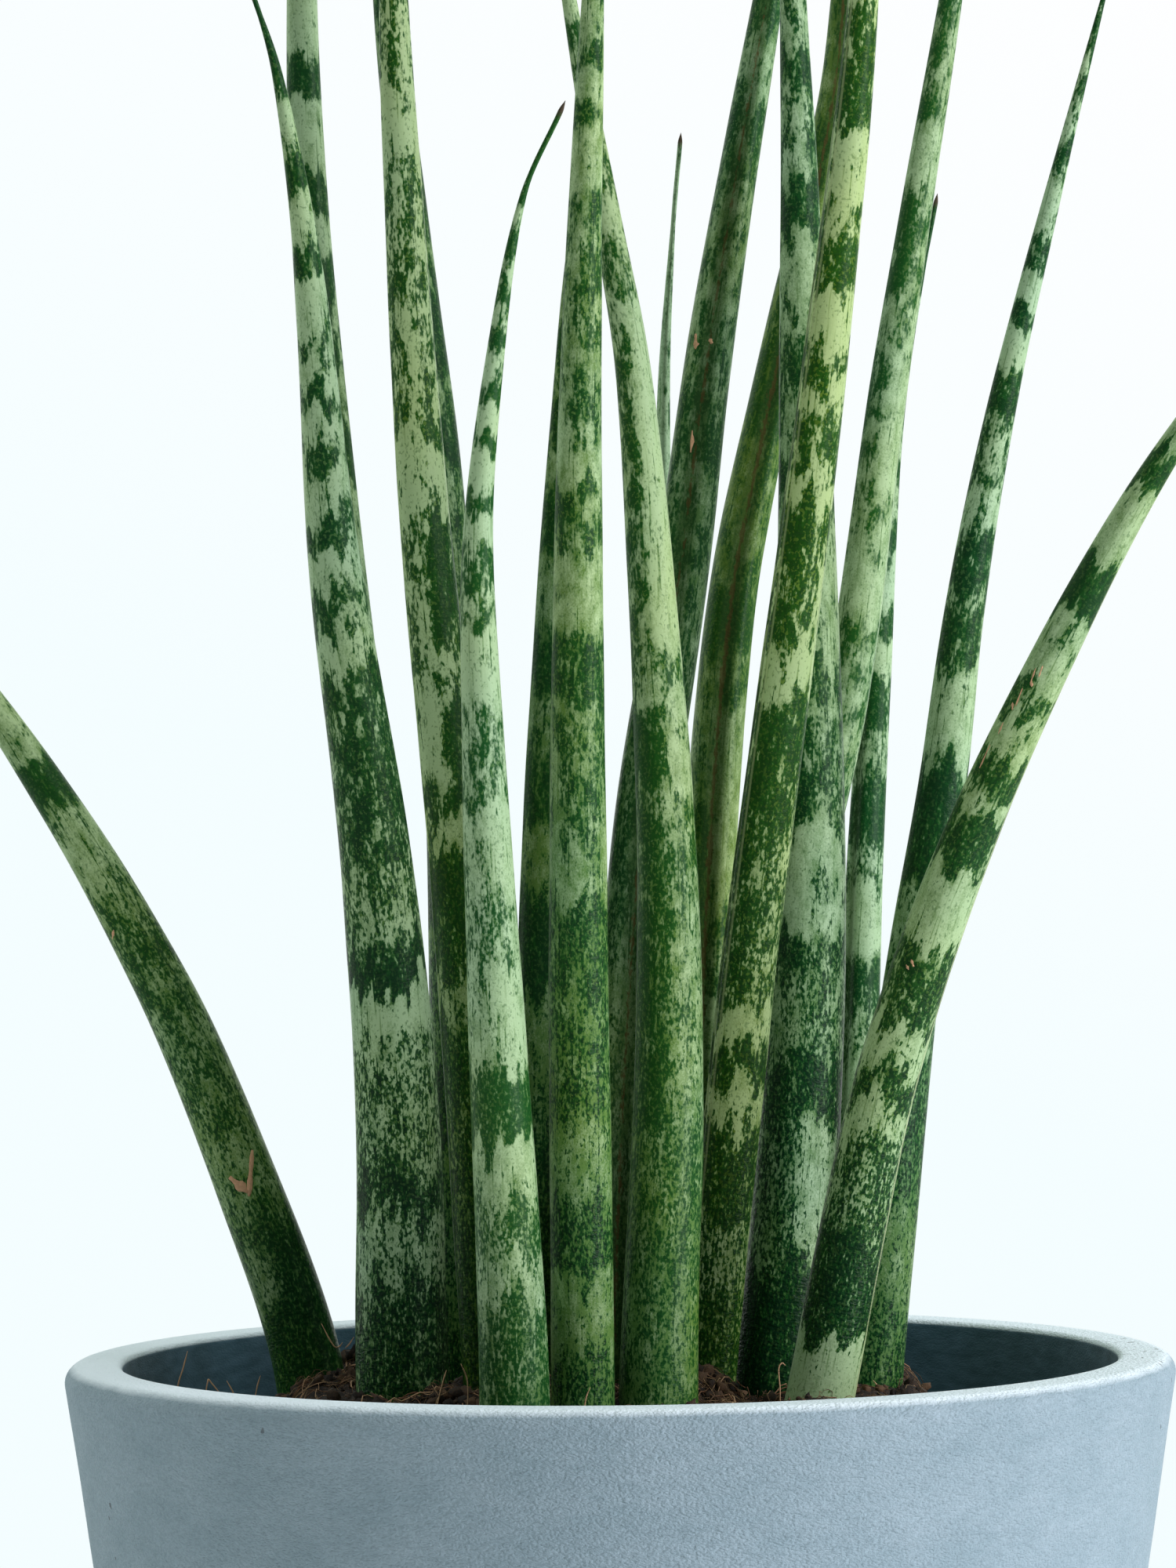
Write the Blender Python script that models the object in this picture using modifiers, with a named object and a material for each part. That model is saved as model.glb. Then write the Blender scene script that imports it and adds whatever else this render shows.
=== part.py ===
"""A cylindrical snake plant in its tapered pot.

Nineteen round, pointed leaves stand in a mound of potting compost, each in a hole of its own. The origin is
the centre of the pot's flat underside, +Z is up and the front of the plant faces -Y.
"""

import math

import bmesh
import bpy
from mathutils import Vector
from mathutils.geometry import interpolate_bezier

# Lengths below are written in millimetres and multiplied by MM where a shape is made.
MM = 0.001

# Clearance between pieces that touch on the real plant.
GAP = 0.3

# The pot: a cone with a thick rim.
POT_HEIGHT = 172.0
RIM_RADIUS = 100.0
FOOT_RADIUS = 75.0
WALL = 10.5
FLOOR = 12.0
RIM_OUTER_ROUND = 3.0
RIM_INNER_ROUND = 1.5
FOOT_ROUND = 4.0
INSIDE_ROUND = 8.0
POT_STEPS = 64

# The compost: a mound round the leaves that falls towards the wall.
MOUND_DEPTH = 4.0  # below the rim, at the middle
MOUND_RADIUS = 58.0
EDGE_DEPTH = 23.0  # below the rim, at the wall
SOIL_RINGS = 9
SOIL_LUMP = 1.1

# The leaves.
LEAF_FOOT = -32.0  # height of the buried end, from the rim
LEAF_SIDES = 12
LEAF_RINGS = 17
HOLE_RINGS = 5  # of those, how many from the foot shape the hole, which ends well above the compost
CHANNEL_DEPTH = 0.26  # of the leaf's radius, where the channel is deepest
CHANNEL_FADE = 0.8  # the channel is shallower past this share of the leaf's length, counted from the tip
CHANNEL_SHARPNESS = 12  # as a power of the cosine, which leaves only the ring's front corner pressed in
POINT_WIDTH = 0.9  # of the hard spine at a leaf's tip
SPINE_LENGTH = 2.0
CURVE_STEPS = 32  # between two chosen points of a centre line

# Each leaf: its name, its width at the foot, how late it tapers, the way its channel faces (degrees from +X,
# seen from above) and its centre line, as x, y and height above the rim, from the buried end to the tip.
# The leaves run from left to right as the front of the plant shows them.
LEAVES = [
    ("leaf_01", 12.8, 2.05, 45, [
        (-54, 1, LEAF_FOOT), (-56.5, 0, 0), (-66, -2, 30), (-82, -4, 69), (-107, -5, 112), (-145, -6, 163),
    ]),
    ("leaf_02", 16.8, 1.7, 30, [
        (-37.5, -23, LEAF_FOOT), (-38.7, -25, 0), (-39, -27, 45), (-42.4, -33, 92), (-49, -40, 144),
        (-53, -45.5, 195), (-58, -48, 228), (-63.5, -51, 246),
    ]),
    ("leaf_03", 11.0, 2.2, 60, [
        (-36.5, 8, LEAF_FOOT), (-38.5, 8, 10), (-46.5, 7, 110), (-54, 6, 195), (-56, 6, 245), (-55, 4, 352),
    ]),
    ("leaf_04", 11.5, 2.2, 150, [
        (-28, 18, LEAF_FOOT), (-28.5, 20, 0), (-29.5, 27, 80), (-32, 34, 156), (-37.8, 41, 212),
        (-42, 46, 253), (-48, 54, 335),
    ]),
    ("leaf_05", 11.5, 2.3, 100, [
        (-21.5, -5, LEAF_FOOT), (-23, -5, 5), (-28.5, -7, 91), (-34, -8, 152), (-37.4, -9, 210),
        (-39, -11, 250), (-41, -13, 330),
    ]),
    ("leaf_06", 12.8, 1.5, 80, [
        (-19.5, -53.5, LEAF_FOOT), (-18.5, -54, 0), (-21, -59, 64), (-22.8, -64, 110), (-23.4, -68, 147),
        (-20, -71, 179), (-15.3, -74, 204), (-8.9, -76, 218),
    ]),
    ("leaf_07", 9.5, 2.6, 90, [
        (-14, 12, LEAF_FOOT), (-14.5, 12, 5), (-13.5, 11, 85), (-8.5, 9, 185), (-5.4, 8, 224),
    ]),
    ("leaf_08", 11.1, 2.3, 100, [
        (-7.2, -46, LEAF_FOOT), (-6.7, -46, 0), (-6.9, -52, 65), (-6.7, -58, 120), (-5.8, -63, 174),
        (-3.3, -70, 238), (0, -77, 292),
    ]),
    ("leaf_09", 12.2, 2.3, 265, [
        (-1.5, 4, LEAF_FOOT), (-1, 5, 0), (4.4, 7, 91), (11.8, 9, 140), (18.7, 10, 190), (28, 13, 243),
        (44, 20, 329),
    ]),
    ("leaf_10", 14.3, 1.4, 85, [
        (7, -39.5, LEAF_FOOT), (6.5, -40, 0), (8.6, -39, 50), (8.6, -38, 93), (6.3, -34, 139), (3.4, -31, 177),
        (-0.6, -29, 202), (-7.4, -26, 243), (-14, -23, 285),
    ]),
    ("leaf_11", 7.5, 1.9, 270, [
        (6, 54, LEAF_FOOT), (7, 56, 0), (9, 68, 104), (10.1, 78, 180), (12.2, 82, 213), (13.7, 85, 229),
    ]),
    ("leaf_12", 10.5, 2.8, 268, [
        (12, 29, LEAF_FOOT), (13, 30, 0), (17.8, 37, 95), (22.5, 43, 141), (29.9, 48, 177), (42, 55, 232),
        (45, 58, 260), (50, 64, 322),
    ]),
    ("leaf_13", 10.7, 2.8, 184, [
        (13.5, -17, LEAF_FOOT), (15.3, -18, 0), (19.6, -22, 43), (24.1, -25, 82), (32.3, -32, 143),
        (36.5, -36, 176), (43.5, -42, 238), (49, -49, 322),
    ]),
    ("leaf_14", 9.8, 2.4, 170, [
        (24, 11, LEAF_FOOT), (25, 12, 0), (33.5, 15, 80), (42.4, 17, 121), (51, 23, 179), (63.2, 30, 250),
        (77, 38, 330),
    ]),
    ("leaf_15", 16.4, 1.5, 120, [
        (26, -7, LEAF_FOOT), (28.5, -8, 0), (32.2, -7, 39), (34.5, -6, 81), (34.8, -5, 120),
        (34, -2.5, 200), (33, -1, 246), (31, 1, 318),
    ]),
    ("leaf_16", 8.5, 2.2, 80, [
        (30, 39, LEAF_FOOT), (31, 41, 0), (36, 60, 130), (36, 70, 234), (33.5, 80, 312),
    ]),
    ("leaf_17", 12.2, 2.1, 20, [
        (28.5, -34, LEAF_FOOT), (35.4, -36, 0), (45.2, -41, 48), (55.1, -47, 80), (65.3, -52, 105.5),
        (81, -60, 138), (94.4, -66, 161), (124, -78, 204),
    ]),
    ("leaf_18", 8.2, 2.6, 220, [
        (43, 48, LEAF_FOOT), (44, 51, 0), (47.2, 62, 80), (50.7, 69, 131), (54.9, 77, 175), (63.3, 86, 217),
    ]),
    ("leaf_19", 12.7, 1.5, 150, [
        (42.5, -11, LEAF_FOOT), (44.6, -10, 0), (47.7, -11, 28), (52, -11, 65), (58.6, -12, 106),
        (62.2, -13, 134), (69, -14, 170), (77.7, -16, 206), (91, -20, 257),
    ]),
]

# Colours as Blender's linear values.
POT_COLOUR = (0.24, 0.35, 0.42)
SOIL_COLOUR = (0.025, 0.017, 0.012)
LEAF_COLOUR = (0.09, 0.17, 0.07)


def clear_scene():
    for old in list(bpy.data.objects):
        bpy.data.objects.remove(old, do_unlink=True)


def collection(name):
    made = bpy.data.collections.new(name)
    bpy.context.scene.collection.children.link(made)
    return made


def material(name, colour, roughness, metallic=0.0):
    made = bpy.data.materials.new(name)
    made.use_nodes = True
    shader = made.node_tree.nodes["Principled BSDF"]
    shader.inputs["Base Color"].default_value = (*colour, 1.0)
    shader.inputs["Roughness"].default_value = roughness
    shader.inputs["Metallic"].default_value = metallic
    return made


def arc(centre_x, centre_z, radius, start, end, steps=4):
    """Points of a profile's round edge, from one angle to another, in degrees."""
    angles = [math.radians(start + (end - start) * i / steps) for i in range(steps + 1)]
    return [(centre_x + radius * math.cos(a), centre_z + radius * math.sin(a)) for a in angles]


def turned(name, profile, steps, into):
    """A solid turned round Z from a profile of (radius, height) points, outer side top to bottom."""
    mesh = bpy.data.meshes.new(name)
    points = [(radius * MM, 0, height * MM) for radius, height in profile]
    mesh.from_pydata(points, [(i, i + 1) for i in range(len(points) - 1)], [])
    made = bpy.data.objects.new(name, mesh)
    into.objects.link(made)
    screw = made.modifiers.new("turn", "SCREW")
    screw.steps = steps
    screw.render_steps = steps
    screw.use_merge_vertices = True
    screw.merge_threshold = 0.00001
    return made


def applied(made):
    """The object with its modifiers turned into plain mesh."""
    graph = bpy.context.evaluated_depsgraph_get()
    mesh = bpy.data.meshes.new_from_object(made.evaluated_get(graph))
    made.modifiers.clear()
    made.data = mesh
    return made


def smooth(made, sharp_from=35):
    made.data.shade_smooth()
    made.data.set_sharp_from_angle(angle=math.radians(sharp_from))


def wall_lean():
    """The wall's lean from upright, in degrees."""
    return math.degrees(math.atan2(RIM_RADIUS - FOOT_RADIUS, POT_HEIGHT))


def pot_inside_radius(height):
    """The inner wall's radius at a height above the pot's underside."""
    return FOOT_RADIUS + (RIM_RADIUS - FOOT_RADIUS) * height / POT_HEIGHT - WALL


def make_pot(into):
    lean = wall_lean()
    floor_radius = pot_inside_radius(FLOOR + INSIDE_ROUND)
    rim_inside = pot_inside_radius(POT_HEIGHT)
    profile = [(0, FLOOR)]
    profile += arc(floor_radius - INSIDE_ROUND, FLOOR + INSIDE_ROUND, INSIDE_ROUND, -90, -lean, 3)
    profile += arc(
        rim_inside + RIM_INNER_ROUND, POT_HEIGHT - RIM_INNER_ROUND, RIM_INNER_ROUND, 180 - lean, 90, 2
    )
    profile += arc(RIM_RADIUS - RIM_OUTER_ROUND, POT_HEIGHT - RIM_OUTER_ROUND, RIM_OUTER_ROUND, 90, -lean)
    profile += arc(FOOT_RADIUS - FOOT_ROUND, FOOT_ROUND, FOOT_ROUND, -lean, -90, 3)
    profile += [(0, 0)]
    pot = applied(turned("pot", profile, POT_STEPS, into))
    smooth(pot)
    pot.data.materials.append(material("pot blue grey", POT_COLOUR, 0.6))


def mound_depth(radius, angle):
    """How far the compost lies below the rim: nearly level among the leaves, then falling to the wall."""
    outside = pot_inside_radius(POT_HEIGHT - EDGE_DEPTH)
    fall = min(max((radius - MOUND_RADIUS) / (outside - MOUND_RADIUS), 0), 1)
    level = MOUND_DEPTH + (EDGE_DEPTH - MOUND_DEPTH) * math.sin(fall * math.pi / 2)
    lumps = math.sin(radius / 9 + 2 * math.sin(angle)) * math.cos(3 * angle + radius / 23)
    return level + SOIL_LUMP * lumps * (1 - fall) * min(radius / 12, 1)


def make_soil(into, cutters):
    edge_height = POT_HEIGHT - EDGE_DEPTH
    edge_radius = pot_inside_radius(edge_height) - GAP
    floor_radius = pot_inside_radius(FLOOR + INSIDE_ROUND)
    top = [(edge_radius * i / SOIL_RINGS, POT_HEIGHT) for i in range(SOIL_RINGS)]
    side = [(edge_radius, edge_height)]
    corner = arc(
        floor_radius - INSIDE_ROUND, FLOOR + INSIDE_ROUND, INSIDE_ROUND - GAP, -wall_lean(), -90, 3
    )
    soil = applied(turned("soil", top + side + corner + [(0, FLOOR + GAP)], POT_STEPS, into))
    for point in soil.data.vertices:
        if point.co.z > (POT_HEIGHT - GAP) * MM:
            radius = math.hypot(point.co.x, point.co.y) / MM
            depth = mound_depth(radius, math.atan2(point.co.y, point.co.x))
            point.co.z = (POT_HEIGHT - depth) * MM
    holes = soil.modifiers.new("holes for the leaves", "BOOLEAN")
    holes.operation = "DIFFERENCE"
    holes.operand_type = "COLLECTION"
    holes.collection = cutters
    soil.data.materials.append(material("potting compost", SOIL_COLOUR, 0.95))


def centre_line(points, steps):
    """Evenly spaced points on a smooth curve through the chosen ones, in metres."""
    knots = [Vector((x, y, POT_HEIGHT + z)) * MM for x, y, z in points]
    ends = len(knots) - 1
    fine = []
    for i in range(ends):
        reach = (knots[i + 1] - knots[i]).length / 3
        way_out = (knots[i + 1] - knots[max(i - 1, 0)]).normalized() * reach
        way_in = (knots[min(i + 2, ends)] - knots[i]).normalized() * reach
        fine += interpolate_bezier(
            knots[i], knots[i] + way_out, knots[i + 1] - way_in, knots[i + 1], CURVE_STEPS + 1
        )[:-1]
    fine.append(knots[-1])
    along = [0.0]
    for before, after in zip(fine, fine[1:]):
        along.append(along[-1] + (after - before).length)
    even = []
    at = 0
    for i in range(steps + 1):
        wanted = along[-1] * i / steps
        while at < len(fine) - 2 and along[at + 1] < wanted:
            at += 1
        share = (wanted - along[at]) / (along[at + 1] - along[at])
        even.append(fine[at].lerp(fine[at + 1], share))
    return even


def leaf_section(centre, along, facing, radius, channel):
    """One ring of a leaf: round, with the channel pressed into the side that faces the given way."""
    front = (facing - along * facing.dot(along)).normalized()
    side = along.cross(front)
    ring = []
    for i in range(LEAF_SIDES):
        turn = 2 * math.pi * i / LEAF_SIDES
        pressed = channel * max(math.cos(turn), 0) ** CHANNEL_SHARPNESS
        reach = radius * (1 - pressed)
        ring.append(centre + (front * math.cos(turn) + side * math.sin(turn)) * reach)
    return ring


def leaf_mesh(name, width, taper, channel_way, points, hole=False):
    """A loft along the centre line, or the shape of the hole that it stands in: its foot, a little wider."""
    grow = GAP if hole else 0.0
    spots = centre_line(points, LEAF_RINGS)
    facing = Vector((math.cos(math.radians(channel_way)), math.sin(math.radians(channel_way)), 0))
    shape = bmesh.new()
    loops = []
    for i, spot in enumerate(spots[:HOLE_RINGS] if hole else spots):
        along = (spots[min(i + 1, LEAF_RINGS)] - spots[max(i - 1, 0)]).normalized()
        from_foot = i / LEAF_RINGS
        radius = (max(width * (1 - from_foot**taper), POINT_WIDTH) / 2 + grow) * MM
        channel = CHANNEL_DEPTH * min((1 - from_foot) / CHANNEL_FADE, 1)
        if i == 0:
            spot = spot - along * grow * MM
        ring = leaf_section(spot, along, facing, radius, channel)
        loops.append([shape.verts.new(corner) for corner in ring])
    for lower, upper in zip(loops, loops[1:]):
        for i in range(LEAF_SIDES):
            j = (i + 1) % LEAF_SIDES
            shape.faces.new((lower[i], lower[j], upper[j], upper[i]))
    shape.faces.new(reversed(loops[0]))
    if hole:
        shape.faces.new(loops[-1])
    else:
        way = (spots[-1] - spots[-2]).normalized()
        tip = shape.verts.new(spots[-1] + way * SPINE_LENGTH * MM)
        for i in range(LEAF_SIDES):
            shape.faces.new((loops[-1][i], loops[-1][(i + 1) % LEAF_SIDES], tip))
    bmesh.ops.recalc_face_normals(shape, faces=shape.faces)
    mesh = bpy.data.meshes.new(name)
    shape.to_mesh(mesh)
    shape.free()
    return mesh


def make_leaf(spec, into, cutters, leaf_material):
    name, *shape = spec
    leaf = bpy.data.objects.new(name, leaf_mesh(name, *shape))
    into.objects.link(leaf)
    leaf.data.materials.append(leaf_material)
    smooth(leaf, 50)
    hole_name = f"hole_{name}"
    hole = bpy.data.objects.new(hole_name, leaf_mesh(hole_name, *shape, hole=True))
    hole.hide_render = True
    hole.display_type = "WIRE"
    cutters.objects.link(hole)


def main():
    clear_scene()
    plant = collection("cylindrical snake plant")
    cutters = collection("holes in the compost")
    make_pot(plant)
    leaf_material = material("leaf green", LEAF_COLOUR, 0.45)
    for spec in LEAVES:
        make_leaf(spec, plant, cutters, leaf_material)
    make_soil(plant, cutters)


main()
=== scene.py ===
# %% [markdown]
# # A cylindrical snake plant in a tapered pot
#
# This lesson dresses a packed model of a potted snake plant. The packed model holds the plain solids: a
# pot, the compost in it and nineteen round leaves. We load them first and never move them. Then each
# solid gets a finer piece in the same place, with the skin, grain and dirt that the real plant has.

import math
import random

import bpy
from mathutils import Euler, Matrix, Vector, noise
from mathutils.geometry import interpolate_bezier


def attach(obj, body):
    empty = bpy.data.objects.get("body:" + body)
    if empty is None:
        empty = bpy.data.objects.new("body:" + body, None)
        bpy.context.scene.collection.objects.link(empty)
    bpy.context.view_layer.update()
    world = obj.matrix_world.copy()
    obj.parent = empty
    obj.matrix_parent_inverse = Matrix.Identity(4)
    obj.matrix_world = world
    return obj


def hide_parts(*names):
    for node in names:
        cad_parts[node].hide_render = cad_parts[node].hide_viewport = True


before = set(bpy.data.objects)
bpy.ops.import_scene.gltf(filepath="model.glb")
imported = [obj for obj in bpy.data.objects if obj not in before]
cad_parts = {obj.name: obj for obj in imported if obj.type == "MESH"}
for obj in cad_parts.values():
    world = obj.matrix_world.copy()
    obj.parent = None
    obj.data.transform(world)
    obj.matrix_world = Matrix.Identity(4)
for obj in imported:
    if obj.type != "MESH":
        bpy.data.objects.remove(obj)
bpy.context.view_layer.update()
print("solids:", ", ".join(sorted(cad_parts)))

# %% [markdown]
# ## Sizes
#
# All sizes are written in millimetres, as a potter or a gardener would give them, and MM turns them into
# Blender's metres. The pot is a cone with a thick rim. The compost is a low mound that falls away towards
# the wall.

# %% The pot and the mound
MM = 0.001
POT_HEIGHT = 172.0
RIM_RADIUS = 100.0
FOOT_RADIUS = 75.0
WALL = 10.5
FLOOR = 12.0
RIM_OUTER_ROUND = 3.0
RIM_INNER_ROUND = 1.5
FOOT_ROUND = 4.0
INSIDE_ROUND = 8.0
GAP = 0.3

MOUND_DEPTH = 4.0
MOUND_RADIUS = 58.0
EDGE_DEPTH = 23.0
SOIL_LUMP = 1.1


def wall_lean():
    """The wall's lean from upright, in degrees."""
    return math.degrees(math.atan2(RIM_RADIUS - FOOT_RADIUS, POT_HEIGHT))


def pot_inside_radius(height):
    """The inner wall's radius at a height above the pot's underside."""
    return FOOT_RADIUS + (RIM_RADIUS - FOOT_RADIUS) * height / POT_HEIGHT - WALL


print("the wall leans", round(wall_lean(), 1), "degrees")

# %% [markdown]
# ## The leaves
#
# A cylindrical snake plant's leaf is a round, pointed spear with one shallow channel down one side. Each
# leaf is given by its width at the foot, how late it tapers, the way its channel faces in degrees from
# +X, and a few points on its centre line: x, y and height above the rim. A smooth curve runs through the
# points.

# %% Nineteen leaves
LEAF_FOOT = -32.0
LEAVES = {
    "leaf_01": (12.8, 2.05, 45, [
        (-54, 1, LEAF_FOOT), (-56.5, 0, 0), (-66, -2, 30), (-82, -4, 69), (-107, -5, 112), (-145, -6, 163),
    ]),
    "leaf_02": (16.8, 1.7, 30, [
        (-37.5, -23, LEAF_FOOT), (-38.7, -25, 0), (-39, -27, 45), (-42.4, -33, 92), (-49, -40, 144),
        (-53, -45.5, 195), (-58, -48, 228), (-63.5, -51, 246),
    ]),
    "leaf_03": (11.0, 2.2, 60, [
        (-36.5, 8, LEAF_FOOT), (-38.5, 8, 10), (-46.5, 7, 110), (-54, 6, 195), (-56, 6, 245), (-55, 4, 352),
    ]),
    "leaf_04": (11.5, 2.2, 150, [
        (-28, 18, LEAF_FOOT), (-28.5, 20, 0), (-29.5, 27, 80), (-32, 34, 156), (-37.8, 41, 212),
        (-42, 46, 253), (-48, 54, 335),
    ]),
    "leaf_05": (11.5, 2.3, 100, [
        (-21.5, -5, LEAF_FOOT), (-23, -5, 5), (-28.5, -7, 91), (-34, -8, 152), (-37.4, -9, 210),
        (-39, -11, 250), (-41, -13, 330),
    ]),
    "leaf_06": (12.8, 1.5, 80, [
        (-19.5, -53.5, LEAF_FOOT), (-18.5, -54, 0), (-21, -59, 64), (-22.8, -64, 110), (-23.4, -68, 147),
        (-20, -71, 179), (-15.3, -74, 204), (-8.9, -76, 218),
    ]),
    "leaf_07": (9.5, 2.6, 90, [
        (-14, 12, LEAF_FOOT), (-14.5, 12, 5), (-13.5, 11, 85), (-8.5, 9, 185), (-5.4, 8, 224),
    ]),
    "leaf_08": (11.1, 2.3, 100, [
        (-7.2, -46, LEAF_FOOT), (-6.7, -46, 0), (-6.9, -52, 65), (-6.7, -58, 120), (-5.8, -63, 174),
        (-3.3, -70, 238), (0, -77, 292),
    ]),
    "leaf_09": (12.2, 2.3, 265, [
        (-1.5, 4, LEAF_FOOT), (-1, 5, 0), (4.4, 7, 91), (11.8, 9, 140), (18.7, 10, 190), (28, 13, 243),
        (44, 20, 329),
    ]),
    "leaf_10": (14.3, 1.4, 85, [
        (7, -39.5, LEAF_FOOT), (6.5, -40, 0), (8.6, -39, 50), (8.6, -38, 93), (6.3, -34, 139),
        (3.4, -31, 177),
        (-0.6, -29, 202), (-7.4, -26, 243), (-14, -23, 285),
    ]),
    "leaf_11": (7.5, 1.9, 270, [
        (6, 54, LEAF_FOOT), (7, 56, 0), (9, 68, 104), (10.1, 78, 180), (12.2, 82, 213), (13.7, 85, 229),
    ]),
    "leaf_12": (10.5, 2.8, 268, [
        (12, 29, LEAF_FOOT), (13, 30, 0), (17.8, 37, 95), (22.5, 43, 141), (29.9, 48, 177), (42, 55, 232),
        (45, 58, 260), (50, 64, 322),
    ]),
    "leaf_13": (10.7, 2.8, 184, [
        (13.5, -17, LEAF_FOOT), (15.3, -18, 0), (19.6, -22, 43), (24.1, -25, 82), (32.3, -32, 143),
        (36.5, -36, 176), (43.5, -42, 238), (49, -49, 322),
    ]),
    "leaf_14": (9.8, 2.4, 170, [
        (24, 11, LEAF_FOOT), (25, 12, 0), (33.5, 15, 80), (42.4, 17, 121), (51, 23, 179), (63.2, 30, 250),
        (77, 38, 330),
    ]),
    "leaf_15": (16.4, 1.5, 120, [
        (26, -7, LEAF_FOOT), (28.5, -8, 0), (32.2, -7, 39), (34.5, -6, 81), (34.8, -5, 120),
        (34, -2.5, 200), (33, -1, 246), (31, 1, 318),
    ]),
    "leaf_16": (8.5, 2.2, 80, [
        (30, 39, LEAF_FOOT), (31, 41, 0), (36, 60, 130), (36, 70, 234), (33.5, 80, 312),
    ]),
    "leaf_17": (12.2, 2.1, 20, [
        (28.5, -34, LEAF_FOOT), (35.4, -36, 0), (45.2, -41, 48), (55.1, -47, 80), (65.3, -52, 105.5),
        (81, -60, 138), (94.4, -66, 161), (124, -78, 204),
    ]),
    "leaf_18": (8.2, 2.6, 220, [
        (43, 48, LEAF_FOOT), (44, 51, 0), (47.2, 62, 80), (50.7, 69, 131), (54.9, 77, 175), (63.3, 86, 217),
    ]),
    "leaf_19": (12.7, 1.5, 150, [
        (42.5, -11, LEAF_FOOT), (44.6, -10, 0), (47.7, -11, 28), (52, -11, 65), (58.6, -12, 106),
        (62.2, -13, 134), (69, -14, 170), (77.7, -16, 206), (91, -20, 257),
    ]),
}
print(len(LEAVES), "leaves, the widest", max(width for width, *_ in LEAVES.values()), "mm at its foot")
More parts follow.
